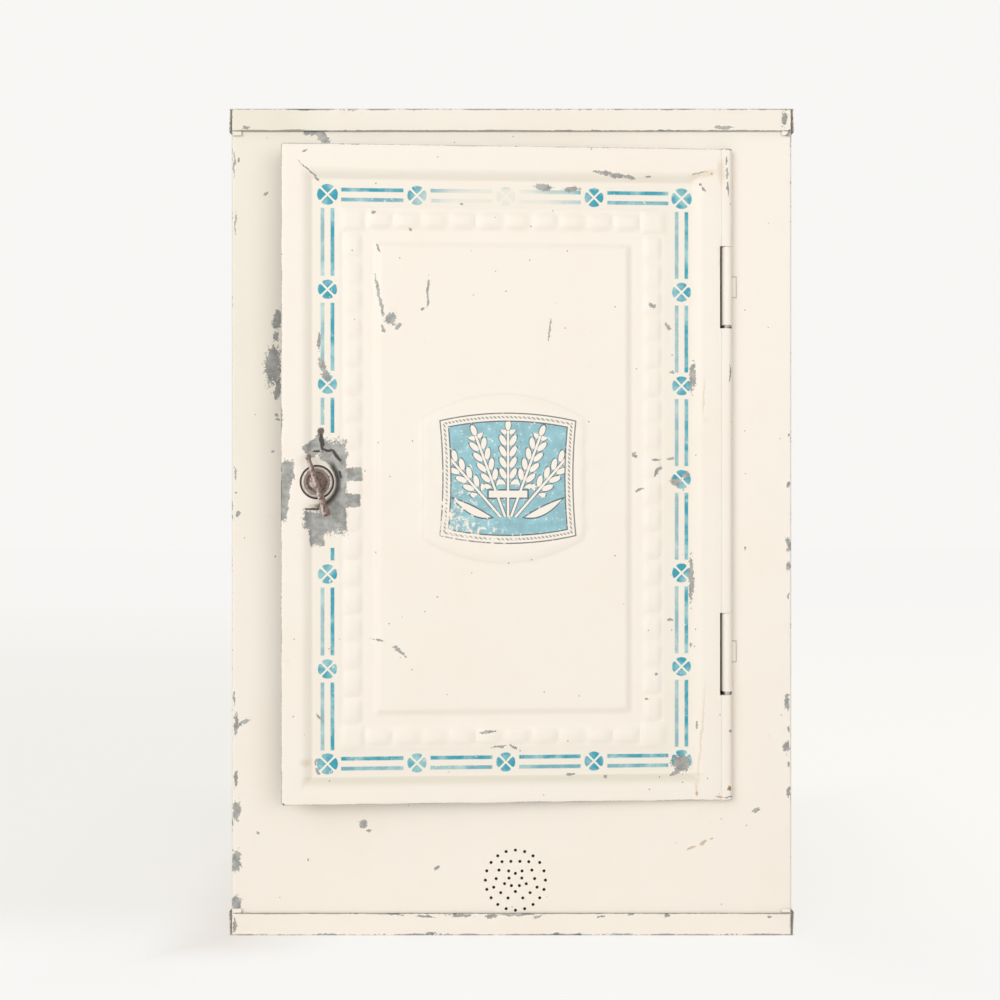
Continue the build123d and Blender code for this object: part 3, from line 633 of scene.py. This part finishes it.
def door_paint(name, low, high):
    """One band of the door between two heights: cream enamel with its stencil, chipped and stained, with
    painted shade in places.
    """
    colours = bpy.context.scene.cabinet_colours
    sizes = bpy.context.scene.cabinet_sizes
    material, wire = new_finish(name)
    place, across, up = door_place(wire)
    flat = flat_place(wire, place, across, up, 5)

    def near(marks):
        return [mark for mark in marks if low - 25 < mark[1] < high + 25]

    # Enamel, darker in the slopes and the band: painted shade on the top slope of the border, soil on the
    # bottom slope, and a little of the same tone over the band
    shade, roughness, height = enamel(wire, place)
    grit = noise(wire, place, 2, 5, 0.75)
    patch = noise(wire, place, 30, 3)
    left = across - (-sizes.door_reach - stencil_middle.x) * MM
    right = (-sizes.roll - stencil_middle.x) * MM - across
    top = (door_high - stencil_middle.z) * MM - up
    bottom = up - (door_low - stencil_middle.z) * MM
    inset = left.least(right).least(top - 3).least(bottom + 3)
    slope_soil_and_shade = 0.03 + (top < 27) * 0.16 + (bottom < 21) * 0.52
    slopes = inset.fade(13, 21.5) * inset.fade(24.5, 22.5) * slope_soil_and_shade
    settled_and_shaded = slopes.most(inset.fade(20, 24) * 0.14) * inset.fade(46, 44)
    shade = mix(wire, settled_and_shaded, shade, colours.dingy)
    # A faint darker line round the foot of the cartouche: painted shade in its crease
    x = across + (stencil_middle.x + (sizes.door_reach + sizes.roll) / 2) * MM
    y = up + (stencil_middle.z - (door_low + door_high) / 2 + sizes.drop) * MM
    bow = (sizes.cartouche_height - sizes.cartouche_shoulder) / sizes.cartouche_width**2 / MM
    outline = sizes.cartouche_height * MM - x * x * bow - abs(y)
    outline = outline.least(sizes.cartouche_width * MM - abs(x))
    shade = mix(wire, abs(outline + 0.6).fade(1.6, 0.4) * 0.16, shade, colours.dingy)
    stained = worn(wire, flat, near(DOOR_STAINS)).fade(1.3, 0.2)
    shade = mix(wire, stained * 0.34, shade, colours.stain)

    # Wear, with painted shade where the sheet starts to roll and round the latch
    listed, torn = chips(wire, flat, grit, near(DOOR_CHIPS), 3.4)
    edge = left.least(top).least(bottom)
    edge_wear = (left.least(top) + (grit - 0.5) * 5 + (0.68 - patch) * 9).fade(0.9, 0.3)
    line = (edge + (patch - 0.56) * 2.5 + (grit - 0.5) * 2).fade(0.7, 0.1) * 0.45
    # Painted shade: a faint dark line where the sheet starts to roll round the hinge
    groove_shade = abs(right - 1).fade(0.9, 0.2) * 0.15
    dots = specks(wire, place, 9, 0.075, 0.28)
    bare = listed.most(edge_wear)
    dirty = (worn(wire, flat, near(DOOR_DARK)) + (grit - 0.5) * 1.6).fade(1.15, 0.8) * 0.75
    dark = line.most(torn).most(groove_shade).most(dots * 0.7).most(dirty)
    rust = (worn(wire, flat, near(DOOR_RUST)) + (grit - 0.5) * 3).fade(1.2, 0.6) * 0.7
    cover, depth = stencil(wire, place, across, up)
    if low < 0 < high:
        shade = medallion(wire, colours, shade, place, across, up)
        rubbed, dirt_and_shade, cleared = latch_wear(wire, flat, grit, across, up)
        bare = bare.most(rubbed)
        dark = dark.most(dirt_and_shade)
        cover = cover * (1 - cleared)
    print_shade = mix(wire, depth, colours.stencil_pale, colours.stencil_deep)
    shade = mix(wire, cover, shade, print_shade)
    finish(wire, chipped(wire, place, (shade, roughness), bare, dark, rust), height)
    return material


def latch_wear(wire, flat, grit, across, up):
    """Round the latch: the share rubbed bare, the share of dark cracks and painted shade, and where the
    stencil is gone.
    """
    sizes = bpy.context.scene.cabinet_sizes
    from_x, from_z, ring = round_latch(across, up)
    boss = (from_x + sizes.boss_shift * MM).most(0)
    boss = from_x.math("SQRT", boss * boss + from_z * from_z)
    rubbed = (worn(wire, flat, LATCH_BARE, True) + (grit - 0.5) * 0.9).fade(1.05, 0.95)
    rubbed = rubbed * (boss + (grit - 0.5) * 5).fade(17.2, 18.6).most(across.fade(-155, -158))
    crack = (worn(wire, flat, LATCH_CRACK) + (grit - 0.5) * 1.6).fade(1.15, 0.8) * 0.9
    # Painted shadow in the gap round the latch plate, and painted shade on the right of the boss's slope
    gap = abs(ring - 12.25).fade(0.95, 0.55)
    boss_shade = boss.fade(15.6, 18.2) * boss.fade(22.5, 19) * (from_x - from_z * 0.35).fade(1, 9) * 0.85
    outer = across < -136.7
    cleared = (across < -110) * (up + outer * 12 > -52) * (up - outer * 6 < 35)
    return rubbed, crack.most(gap).most(boss_shade), cleared


def bare_back():
    """Unpainted inner face of the door."""
    material, wire = new_finish("door_back")
    place = millimetres(wire)[0]
    shade, roughness = zinc(wire, place)
    surface = {"Base Color": shade, "Roughness": roughness, "Metallic": 0.75}
    finish(wire, surface, noise(wire, place, 2) * 0.05)
    return material


def seen(wire):
    """1 for what the camera sees, straight or in a reflection or through glass."""
    ray = wire.add("LightPath", {}, {}, "Is Camera Ray")
    return ray.most(ray.other("Is Glossy Ray")).most(ray.other("Is Transmission Ray"))


def fresh(add, **settings):
    """Adds one primitive with nothing else selected, and returns its object."""
    bpy.ops.object.select_all(action="DESELECT")
    add(**settings)
    return bpy.context.object


def apply_modifier(piece, kind, **settings):
    """Adds a modifier with its settings and applies it."""
    modifier = piece.modifiers.new(kind.lower(), kind)
    for name, setting in settings.items():
        setattr(modifier, name, setting)
    bpy.context.view_layer.objects.active = piece
    bpy.ops.object.modifier_apply(modifier=modifier.name)


def only(piece):
    """Selects one piece alone and makes it active."""
    bpy.ops.object.select_all(action="DESELECT")
    piece.select_set(True)
    bpy.context.view_layer.objects.active = piece


def pick_faces(piece, chosen):
    """Leaves a piece in edit mode with only those faces selected that a test picks."""
    bpy.ops.object.mode_set(mode="EDIT")
    bpy.ops.mesh.select_mode(type="FACE")
    bpy.ops.mesh.select_all(action="DESELECT")
    bpy.ops.object.mode_set(mode="OBJECT")
    for face in piece.data.polygons:
        face.select = chosen(face)
    bpy.ops.object.mode_set(mode="EDIT")


def step_in(rings):
    """Insets the selected face by rings of a width and a step up or down, and leaves edit mode."""
    for width, step in rings:
        bpy.ops.mesh.inset(thickness=width, depth=step)
    bpy.ops.object.mode_set(mode="OBJECT")


def put(piece, matrix):
    """Moves a piece to its place and leaves that place in its mesh."""
    piece.matrix_world = matrix
    only(piece)
    bpy.ops.object.transform_apply(location=True, rotation=True, scale=True)


def smooth(piece, angle):
    """Smooth shading with creases past an angle."""
    only(piece)
    bpy.ops.object.shade_smooth_by_angle(angle=radians(angle))


def hang(name, data, place, turn):
    """Adds a lamp or camera at a place, turned by three angles."""
    holder = bpy.data.objects.new(name, data)
    holder.location = place
    holder.rotation_euler = turn
    bpy.context.scene.collection.objects.link(holder)
    return holder


def settle(piece, name, body, slot, *nodes):
    """Names a finished piece, ties it to its body and hides the nodes it stands for."""
    piece.name = name
    piece.data.name = name
    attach(piece, body)
    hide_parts(*nodes)


def dress(node, material):
    """Gives a carried-over node its material."""
    slots = frame["nodes"][node].data.materials
    slots.clear()
    slots.append(material)


def rows_of_three(items, name):
    """A property of many vertices or faces, three numbers to a row."""
    values = numpy.empty(len(items) * 3)
    items.foreach_get(name, values)
    return values.reshape(-1, 3)


def ramp(value, start, end):
    """0 at start and 1 at end, with a soft step between."""
    share = numpy.clip((value - start) / (end - start), 0, 1)
    return share * share * (3 - 2 * share)


def latch_matrix(level, turn=0):
    """Place on the latch axis, with Z outward, at a level counted from the hinge axis."""
    spin = Matrix((along, (0, 0, 1), outward)).transposed().to_4x4()
    return Matrix.Translation(latch_place + outward * level) @ spin @ Matrix.Rotation(turn, 4, "Z")


def pressed_level(sizes, u, z):
    """How far the pressed sheet stands outward of the hinge axis, along and up the door."""
    left, right = -sizes.door_reach, -sizes.roll
    half_width = (right - left) / 2
    half_height = (door_high - door_low) / 2
    x = u - (left + right) / 2
    y = z - (door_low + door_high) / 2 + sizes.drop
    inset = numpy.minimum(half_width - abs(x), half_height - abs(y))

    # The border rolls over into the band, steepest where it meets it
    turn = numpy.clip((inset - sizes.border) / sizes.slope, 0, 1)
    level = sizes.roll - sizes.recess * (0.75 * turn**2 + 0.25 * ramp(turn, 0, 1))

    # Bead moulding: pillows along the posts and the rails, and square ones at the corners
    ridge_rise, ridge_inset, ridge_half = 0.0005, sizes.bead_inset - 0.0015, 0.0013
    level += ridge_rise * numpy.exp(-(((inset - ridge_inset) / ridge_half) ** 2))
    post = half_width - sizes.bead_inset - sizes.bead_strip / 2
    rail = half_height - sizes.bead_inset - sizes.bead_strip / 2
    corner = 0.0095
    beads = numpy.zeros_like(level)
    for side, run, middle, end, count in ((x, y, post, rail, 18), (y, x, rail, post, 10)):
        pitch = 2 * (end - corner) / count
        across = (abs(side) - middle) / (sizes.bead_strip / 2)
        phase = (run / pitch - numpy.floor(run / pitch) - 0.5) * 2
        bead = ramp(1 - across**2, 0, 1) * (1 - abs(phase) ** 3) * (abs(run) < end - corner)
        beads = numpy.maximum(beads, numpy.where(abs(across) < 1, bead, 0))
    across = (abs(x) - post) / corner
    upward = (abs(y) - rail) / corner
    square = numpy.where((abs(across) < 1) & (abs(upward) < 1), (1 - across**4) * (1 - upward**4), 0)
    level += sizes.bead_rise * numpy.maximum(beads, square)

    # Raised field and the cartouche in its middle
    level += sizes.field_rise * ramp(inset, sizes.field_inset, sizes.field_inset + sizes.field_slope)
    scallop = 0.003
    wave = abs(numpy.sin(y / sizes.cartouche_shoulder * numpy.pi * 2)) * scallop
    bow = sizes.cartouche_height - sizes.cartouche_shoulder
    top = sizes.cartouche_height - bow * (x / sizes.cartouche_width) ** 2
    inner = numpy.minimum(sizes.cartouche_width + wave - abs(x), top - abs(y))
    level += sizes.cartouche_rise * ramp(inner, -0.0005, 0.0025)

    # Latch boss, running out of the border
    beside = numpy.maximum(u - latch_u + sizes.boss_shift, 0)
    from_boss = numpy.hypot(beside, z - latch_place.z)
    boss = sizes.roll - sizes.recess * ramp(from_boss, sizes.boss, sizes.boss + sizes.boss_slope)
    level = numpy.where(x < 0, numpy.maximum(level, boss), level)

    # Groove where the sheet starts to roll round the hinge pins, and a little waviness of the sheet
    ends = numpy.minimum(z - door_low, door_high - z)
    groove_depth, groove_u, groove_half = 0.0006, -0.0052, 0.0011
    level -= groove_depth * numpy.exp(-(((u - groove_u) / groove_half) ** 2)) * ramp(ends, 0.0015, 0.006)
    wave_rise = 0.00012
    wavy = numpy.sin(u * 31 + 1) * numpy.sin(z * 23 + 0.4) + numpy.sin(u * 17 - z * 29)
    return level + wave_rise * wavy * ramp(inset, 0.002, 0.02)


def grid_lines(low, high, middle_steps):
    """Places of the door's grid from one edge to the other, close where the pressing is steep."""
    stops = (0, 0.012, 0.026, 0.043, 0.064, 0.080)
    steps = (5, 13, 7, 15, 12)
    near = [numpy.linspace(a, b, n, endpoint=False) for a, b, n in zip(stops, stops[1:], steps)]
    near = numpy.concatenate(near)
    between = numpy.linspace(low + stops[-1], high - stops[-1], middle_steps)
    return numpy.concatenate([low + near, between, (high - near)[::-1]])


def turned_edge(sizes):
    """Grid lines of a turned edge, from its end to the flat: distance in from the edge, and drop."""
    turns = numpy.radians((90, 67.5, 45, 22.5))
    inward = numpy.concatenate([numpy.zeros(4), sizes.fold * (1 - numpy.sin(turns))])
    drop = numpy.linspace(sizes.turned, sizes.fold, 5)[:-1]
    return inward, numpy.concatenate([drop, sizes.fold * (1 - numpy.cos(turns))])


class CABINET_OT_door(bpy.types.Operator):
    """Presses the door sheet, turns its edges and rolls the hinge edge"""

    bl_idname = "cabinet.door"
    bl_label = "Door"

    def execute(self, context):
        sizes = context.scene.cabinet_sizes
        play, relief = 0.0003, 0.0019
        notch_tops = [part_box(node)[1][2] + play for node in ("lower_hinge_leaf", "upper_hinge_leaf")]
        cuts = [place for top in notch_tops for place in (top - sizes.notch, top)]
        notch_side = -sizes.roll - relief

        # Grid lines along and up the door, and how far the sheet drops behind its face at each
        inward, drop = turned_edge(sizes)
        turns = numpy.radians(numpy.arange(0, 301, 15))
        flat_u = grid_lines(-sizes.door_reach + sizes.fold, notch_side, 72)
        relief_u = [notch_side + 0.0006, -0.002]
        rolled_u = sizes.roll * numpy.sin(turns)
        u_lines = numpy.concatenate([inward - sizes.door_reach, flat_u, relief_u, rolled_u])
        u_drop = numpy.concatenate([drop, numpy.zeros(flat_u.size + 2), sizes.roll * (1 - numpy.cos(turns))])
        flat_z = grid_lines(door_low + sizes.fold, door_high - sizes.fold, 112)
        flat_z = numpy.sort(numpy.append(flat_z, cuts))
        z_lines = numpy.concatenate([door_low + inward, flat_z, (door_high - inward)[::-1]])
        z_drop = numpy.concatenate([drop, numpy.zeros(flat_z.size), drop[::-1]])

        columns, rows = u_lines.size - 1, z_lines.size - 1
        door = fresh(bpy.ops.mesh.primitive_grid_add, x_subdivisions=columns, y_subdivisions=rows, size=1)
        mesh = door.data
        places = rows_of_three(mesh.vertices, "co") + 0.5
        column = numpy.rint(places[:, 0] * columns).astype(int)
        row = numpy.rint(places[:, 1] * rows).astype(int)
        middles = rows_of_three(mesh.polygons, "center") + 0.5
        face_column = middles[:, 0] * columns
        face_row = middles[:, 1] * rows

        # Set the grid out as the pressed and rolled sheet
        notch_column = inward.size + flat_u.size - 1
        u, z = u_lines[column], z_lines[row]
        rolled = column > notch_column
        level = pressed_level(sizes, numpy.clip(u, -sizes.door_reach + sizes.fold, -sizes.roll), z)
        level = numpy.where(rolled, sizes.roll, level)
        level -= numpy.maximum(u_drop[column], numpy.where(rolled, 0, z_drop[row]))
        world = numpy.outer(u, along) + numpy.outer(level, outward) + numpy.array(hinge_place) * (1, 1, 0)
        world[:, 2] = z
        mesh.vertices.foreach_set("co", world.ravel())
        mesh.update()

        # Paint in three bands, and bare metal behind
        bands = (-400, -75, 75, 400)
        for name, low, high in zip(("lower", "middle", "upper"), bands, bands[1:]):
            mesh.materials.append(door_paint(f"door_paint_{name}", low, high))
        mesh.materials.append(bare_back())
        face_z = numpy.interp(face_row, numpy.arange(rows + 1), z_lines)
        band = numpy.digitize((face_z - stencil_middle.z) * MM, bands[1:3])
        mesh.polygons.foreach_set("material_index", band.astype(numpy.int32))

        # Cut away the corners of the blank and the hinge notches
        from_end = numpy.minimum(face_row, rows - face_row)
        beside_roll = abs(face_column - notch_column - 0.5) < 1
        cut = (from_end < inward.size) & ((face_column < inward.size) | beside_roll)
        cut |= (from_end < 4) & (face_column > notch_column)
        for top in notch_tops:
            cut |= (face_column > notch_column) & (face_z < top) & (face_z > top - sizes.notch)
        pick_faces(door, lambda face: cut[face.index])
        bpy.ops.mesh.delete(type="FACE")
        bpy.ops.object.mode_set(mode="OBJECT")
        apply_modifier(door, "SOLIDIFY", thickness=sizes.sheet, offset=-1, material_offset=3)
        smooth(door, 40)
        settle(door, "door_sheet", "door", "cream_paint", "door_panel")
        return {"FINISHED"}


class CABINET_OT_latch(bpy.types.Operator):
    """Turns the latch plate and models the thumb turn on it"""

    bl_idname = "cabinet.latch"
    bl_label = "Latch"

    def execute(self, context):
        sizes = context.scene.cabinet_sizes
        turned_steel = aged_steel("latch_plate_steel", plate_bright)
        highlighted_steel = aged_steel("thumb_turn_steel", turn_highlight)
        hidden_steel = aged_steel("hidden_steel", hidden_bright)

        # Plate: rings inset one after another, each with its step up or down
        plate = fresh(bpy.ops.mesh.primitive_circle_add, vertices=72, radius=sizes.plate, fill_type="NGON")
        bpy.ops.object.mode_set(mode="EDIT")
        bpy.ops.mesh.select_all(action="SELECT")
        bpy.ops.mesh.extrude_region_move(TRANSFORM_OT_translate={"value": (0, 0, 0.0007)})
        step_in((
            (0.0004, 0.0006), (0.0006, 0.0004), (0.0007, 0), (0.0006, -0.0005), (0.0004, -0.0005),
            (0.0010, -0.0001), (0.0003, 0.0003), (0.0006, 0), (0.0003, -0.0003), (0.0011, 0),
            (0.0003, 0.0008), (0.0004, 0.0004), (0.0008, 0), (0.0006, 0.0001),
        ))
        put(plate, latch_matrix(sizes.roll))
        smooth(plate, 50)
        plate.data.materials.append(turned_steel)
        settle(plate, "latch_plate", "door", "aged_steel", "latch_rosette")

        # Thumb turn: a block drawn out upward to a necked knob and downward to a broader foot, through
        # stations that give reach, width and thickness in millimetres
        block = 4.4
        knob = (
            (6, 4.2, 4), (12, 3.7, 3.6), (16.3, 3, 3), (17.4, 3.2, 3.2), (18.1, 4.4, 4.2), (20.3, 4.5, 4.3),
            (21.3, 3.4, 3.2),
        )
        foot = (
            (6, 4.7, 4.2), (13, 5.3, 4), (20, 5.9, 3.8), (24.5, 6.3, 3.8), (26.2, 6.1, 3.6),
            (26.8, 4.6, 2.6),
        )
        handle = fresh(bpy.ops.mesh.primitive_cube_add, size=block / MM)
        for side, stations in ((1, knob), (-1, foot)):
            pick_faces(handle, lambda face: face.normal.y * side > 0.9)
            reached, wide, thick = block / 2, block, block
            for reach, width, thickness in stations:
                move = side * (reach - reached) / MM
                bpy.ops.mesh.extrude_region_move(TRANSFORM_OT_translate={"value": (0, move, 0)})
                bpy.ops.transform.resize(value=(width / wide, 1, thickness / thick))
                reached, wide, thick = reach, width, thickness
        bpy.ops.object.mode_set(mode="OBJECT")
        rounding = {"limit_method": "ANGLE", "angle_limit": radians(60)}
        apply_modifier(handle, "BEVEL", width=0.0005, segments=1, **rounding)
        apply_modifier(handle, "SUBSURF", levels=2, render_levels=2)
        hub = fresh(bpy.ops.mesh.primitive_cylinder_add, vertices=40, radius=0.0052, depth=0.0050)
        pick_faces(hub, lambda face: face.normal.z > 0.9)
        step_in(((0.0006, 0.0004), (0.0009, 0), (0.0004, 0.0006), (0.0008, 0.0003)))
        put(hub, Matrix.Translation((0, 0, -0.0042)))
        only(handle)
        hub.select_set(True)
        bpy.ops.object.join()
        put(handle, latch_matrix(sizes.roll + 0.0093, radians(LATCH_LEAN)))
        smooth(handle, 40)
        handle.data.materials.append(highlighted_steel)
        settle(handle, "thumb_turn", "latch", "aged_steel", "latch_handle")
        for node in ("latch_spindle", "latch_sleeve", "latch_cam", "latch_nut"):
            dress(node, hidden_steel)
        return {"FINISHED"}


class CABINET_OT_case(bpy.types.Operator):
    """Paints the walls, caps and hinge leaves of the case"""

    bl_idname = "cabinet.case"
    bl_label = "Case"

    def execute(self, context):
        side, front = case_side * MM, -case_front * MM
        overlap, tab = 1.9, 3

        def wall_edges(x, y, z):
            under_caps = (z < cap_low * MM).most(z > cap_high * MM)
            return (side - abs(x)).most(front - abs(y)) + 0.3 + under_caps * 9

        def cap_edges(x, y, z):
            outer = (side + overlap - abs(x)).least(front + overlap - abs(y))
            ends = (case_top * MM - z).least(z).most(outer)
            rims = abs(z - cap_high * MM).least(abs(z - cap_low * MM))
            corners = (side + overlap - tab - abs(x)).most(front + overlap - tab - abs(y))
            return ends.least(rims * 1.7 + 0.1).least(abs(corners) * 1.7 + 0.55)

        walls = case_paint("wall_paint", wall_edges, FRONT_CHIPS, 0.40, FRONT_RUST)
        caps = case_paint("cap_paint", cap_edges, CAP_CHIPS, 0.62, FRONT_RUST)
        finishes = {"top_cap": caps, "bottom_cap": caps}
        for node in (
            "front_panel", "left_side", "right_side", "back_panel", "top_cap", "bottom_cap",
            "upper_hinge_leaf", "lower_hinge_leaf", "hinge_rivets", "ledge_rivets",
        ):
            dress(node, finishes.get(node, walls))
        return {"FINISHED"}


class CABINET_OT_inside(bpy.types.Operator):
    """Finishes the shelves, their ledges and the hinge pins"""

    bl_idname = "cabinet.inside"
    bl_label = "Inside"

    def execute(self, context):
        sheet = zinc_sheet()
        rod = steel_rod()
        for node in frame["nodes"]:
            if node.endswith(("shelf", "ledge")):
                dress(node, sheet)
            elif node.endswith("pin"):
                dress(node, rod)
        return {"FINISHED"}


class CABINET_OT_stage(bpy.types.Operator):
    """Lays a pale floor, hangs soft lamps and sets the camera level with the door"""

    bl_idname = "cabinet.stage"
    bl_label = "Stage"

    def execute(self, context):
        scene = context.scene
        far_tone, near_tone = (0.935, 0.928, 0.91), (0.955, 0.948, 0.93)
        left_floor_shade, right_floor_light, foot_shadow_tone = (0.89, 0.87, 0.83), (0.97, 0.95, 0.91), (0.80, 0.75, 0.70)

        # Floor: paper that takes a faint shadow and is otherwise as light as the backdrop, with painted
        # light and shade in its glow round the cabinet
        floor = fresh(bpy.ops.mesh.primitive_plane_add, size=16)
        floor.name = "floor"
        material, wire = new_finish("pale_floor")
        place, x, y, z = millimetres(wire)
        cloud = noise(wire, place, 400, 2)
        shade = mix(wire, cloud, (0.74, 0.735, 0.725), (0.76, 0.755, 0.745))
        shade = mix(wire, seen(wire), shade, (1.19, 1.18, 1.16))
        bump = wire.add("Bump", {}, {"Distance": 0.0005, "Height": cloud})
        paper = wire.add("BsdfPrincipled", {}, {"Base Color": shade, "Roughness": 0.85, "Normal": bump})
        # The floor's glow for the camera: painted shade to the left of the cabinet, painted light to its
        # right, and a painted shadow at its left foot
        tone = mix(wire, x.fade(-300, 300), left_floor_shade, right_floor_light)
        tone = mix(wire, y.fade(500, 3500), tone, far_tone)
        tone = mix(wire, y.fade(-60, -220), tone, near_tone)
        foot = (abs(x) - case_side * MM).most(abs(y) + case_front * MM)
        tone = mix(wire, foot.fade(70, 0) * x.fade(-120, -220) * 0.8, tone, foot_shadow_tone)
        white = wire.add("Emission", {}, {"Color": tone, "Strength": 1})
        lit = seen(wire) * (0.84 + foot.fade(0, 300) * 0.14)
        surface = wire.add("MixShader", {}, {0: lit, 1: paper, 2: white})
        wire.add("OutputMaterial", {}, {"Surface": surface})
        floor.data.materials.append(material)

        world = bpy.data.worlds.new("studio")
        scene.world = world
        world.use_nodes = True
        world.node_tree.nodes.clear()
        wire = Wire(world.node_tree)
        soft = wire.add("Background", {}, {"Color": rgba((1, 1, 1)), "Strength": 0.40})
        backdrop = wire.add("Background", {}, {"Color": rgba(far_tone), "Strength": 1})
        mixed = wire.add("MixShader", {}, {0: seen(wire), 1: soft, 2: backdrop})
        wire.add("OutputWorld", {}, {"Surface": mixed})

        case_middle = Vector((0, 0, 0.33))
        for name, spot, size, energy in (
            ("key_lamp", (-2.1, -3.6, 1.15), 2.8, 87.5),
            ("fill_lamp", (1.7, -3.5, 0.6), 2.2, 41.5),
        ):
            lamp = bpy.data.lights.new(name, "AREA")
            lamp.size = size
            lamp.energy = energy
            hang(name, lamp, spot, (case_middle - Vector(spot)).to_track_quat("-Z", "Y").to_euler())

        camera = bpy.data.cameras.new("camera")
        camera.lens = 49
        camera.sensor_width = 36
        scene.camera = hang("camera", camera, (-0.0089, -1.214, 0.336), (radians(90), 0, 0))
        scene.view_settings.view_transform = "Standard"
        return {"FINISHED"}


class CABINET_PT_panel(bpy.types.Panel):
    """Lists the cabinet's pieces in the sidebar"""

    bl_idname = "CABINET_PT_panel"
    bl_label = "Bread cabinet"
    bl_space_type = "VIEW_3D"
    bl_region_type = "UI"
    bl_category = "Cabinet"

    def draw(self, context):
        for operator in OPERATORS:
            self.layout.operator(operator.bl_idname)
        for group in (context.scene.cabinet_sizes, context.scene.cabinet_colours):
            for name in group.__annotations__:
                self.layout.prop(group, name, text=name.replace("_", " ").capitalize())


OPERATORS = (CABINET_OT_stage, CABINET_OT_case, CABINET_OT_inside, CABINET_OT_door, CABINET_OT_latch)
CLASSES = (CabinetSizes, CabinetColours, *OPERATORS, CABINET_PT_panel)


def register():
    for item in CLASSES:
        bpy.utils.register_class(item)
    bpy.types.Scene.cabinet_sizes = PointerProperty(type=CabinetSizes)
    bpy.types.Scene.cabinet_colours = PointerProperty(type=CabinetColours)


def unregister():
    del bpy.types.Scene.cabinet_colours
    del bpy.types.Scene.cabinet_sizes
    for item in reversed(CLASSES):
        bpy.utils.unregister_class(item)


def main():
    register()
    bpy.ops.cabinet.stage()
    bpy.ops.cabinet.case()
    bpy.ops.cabinet.inside()
    bpy.ops.cabinet.door()
    bpy.ops.cabinet.latch()


if __name__ == "__main__":
    main()
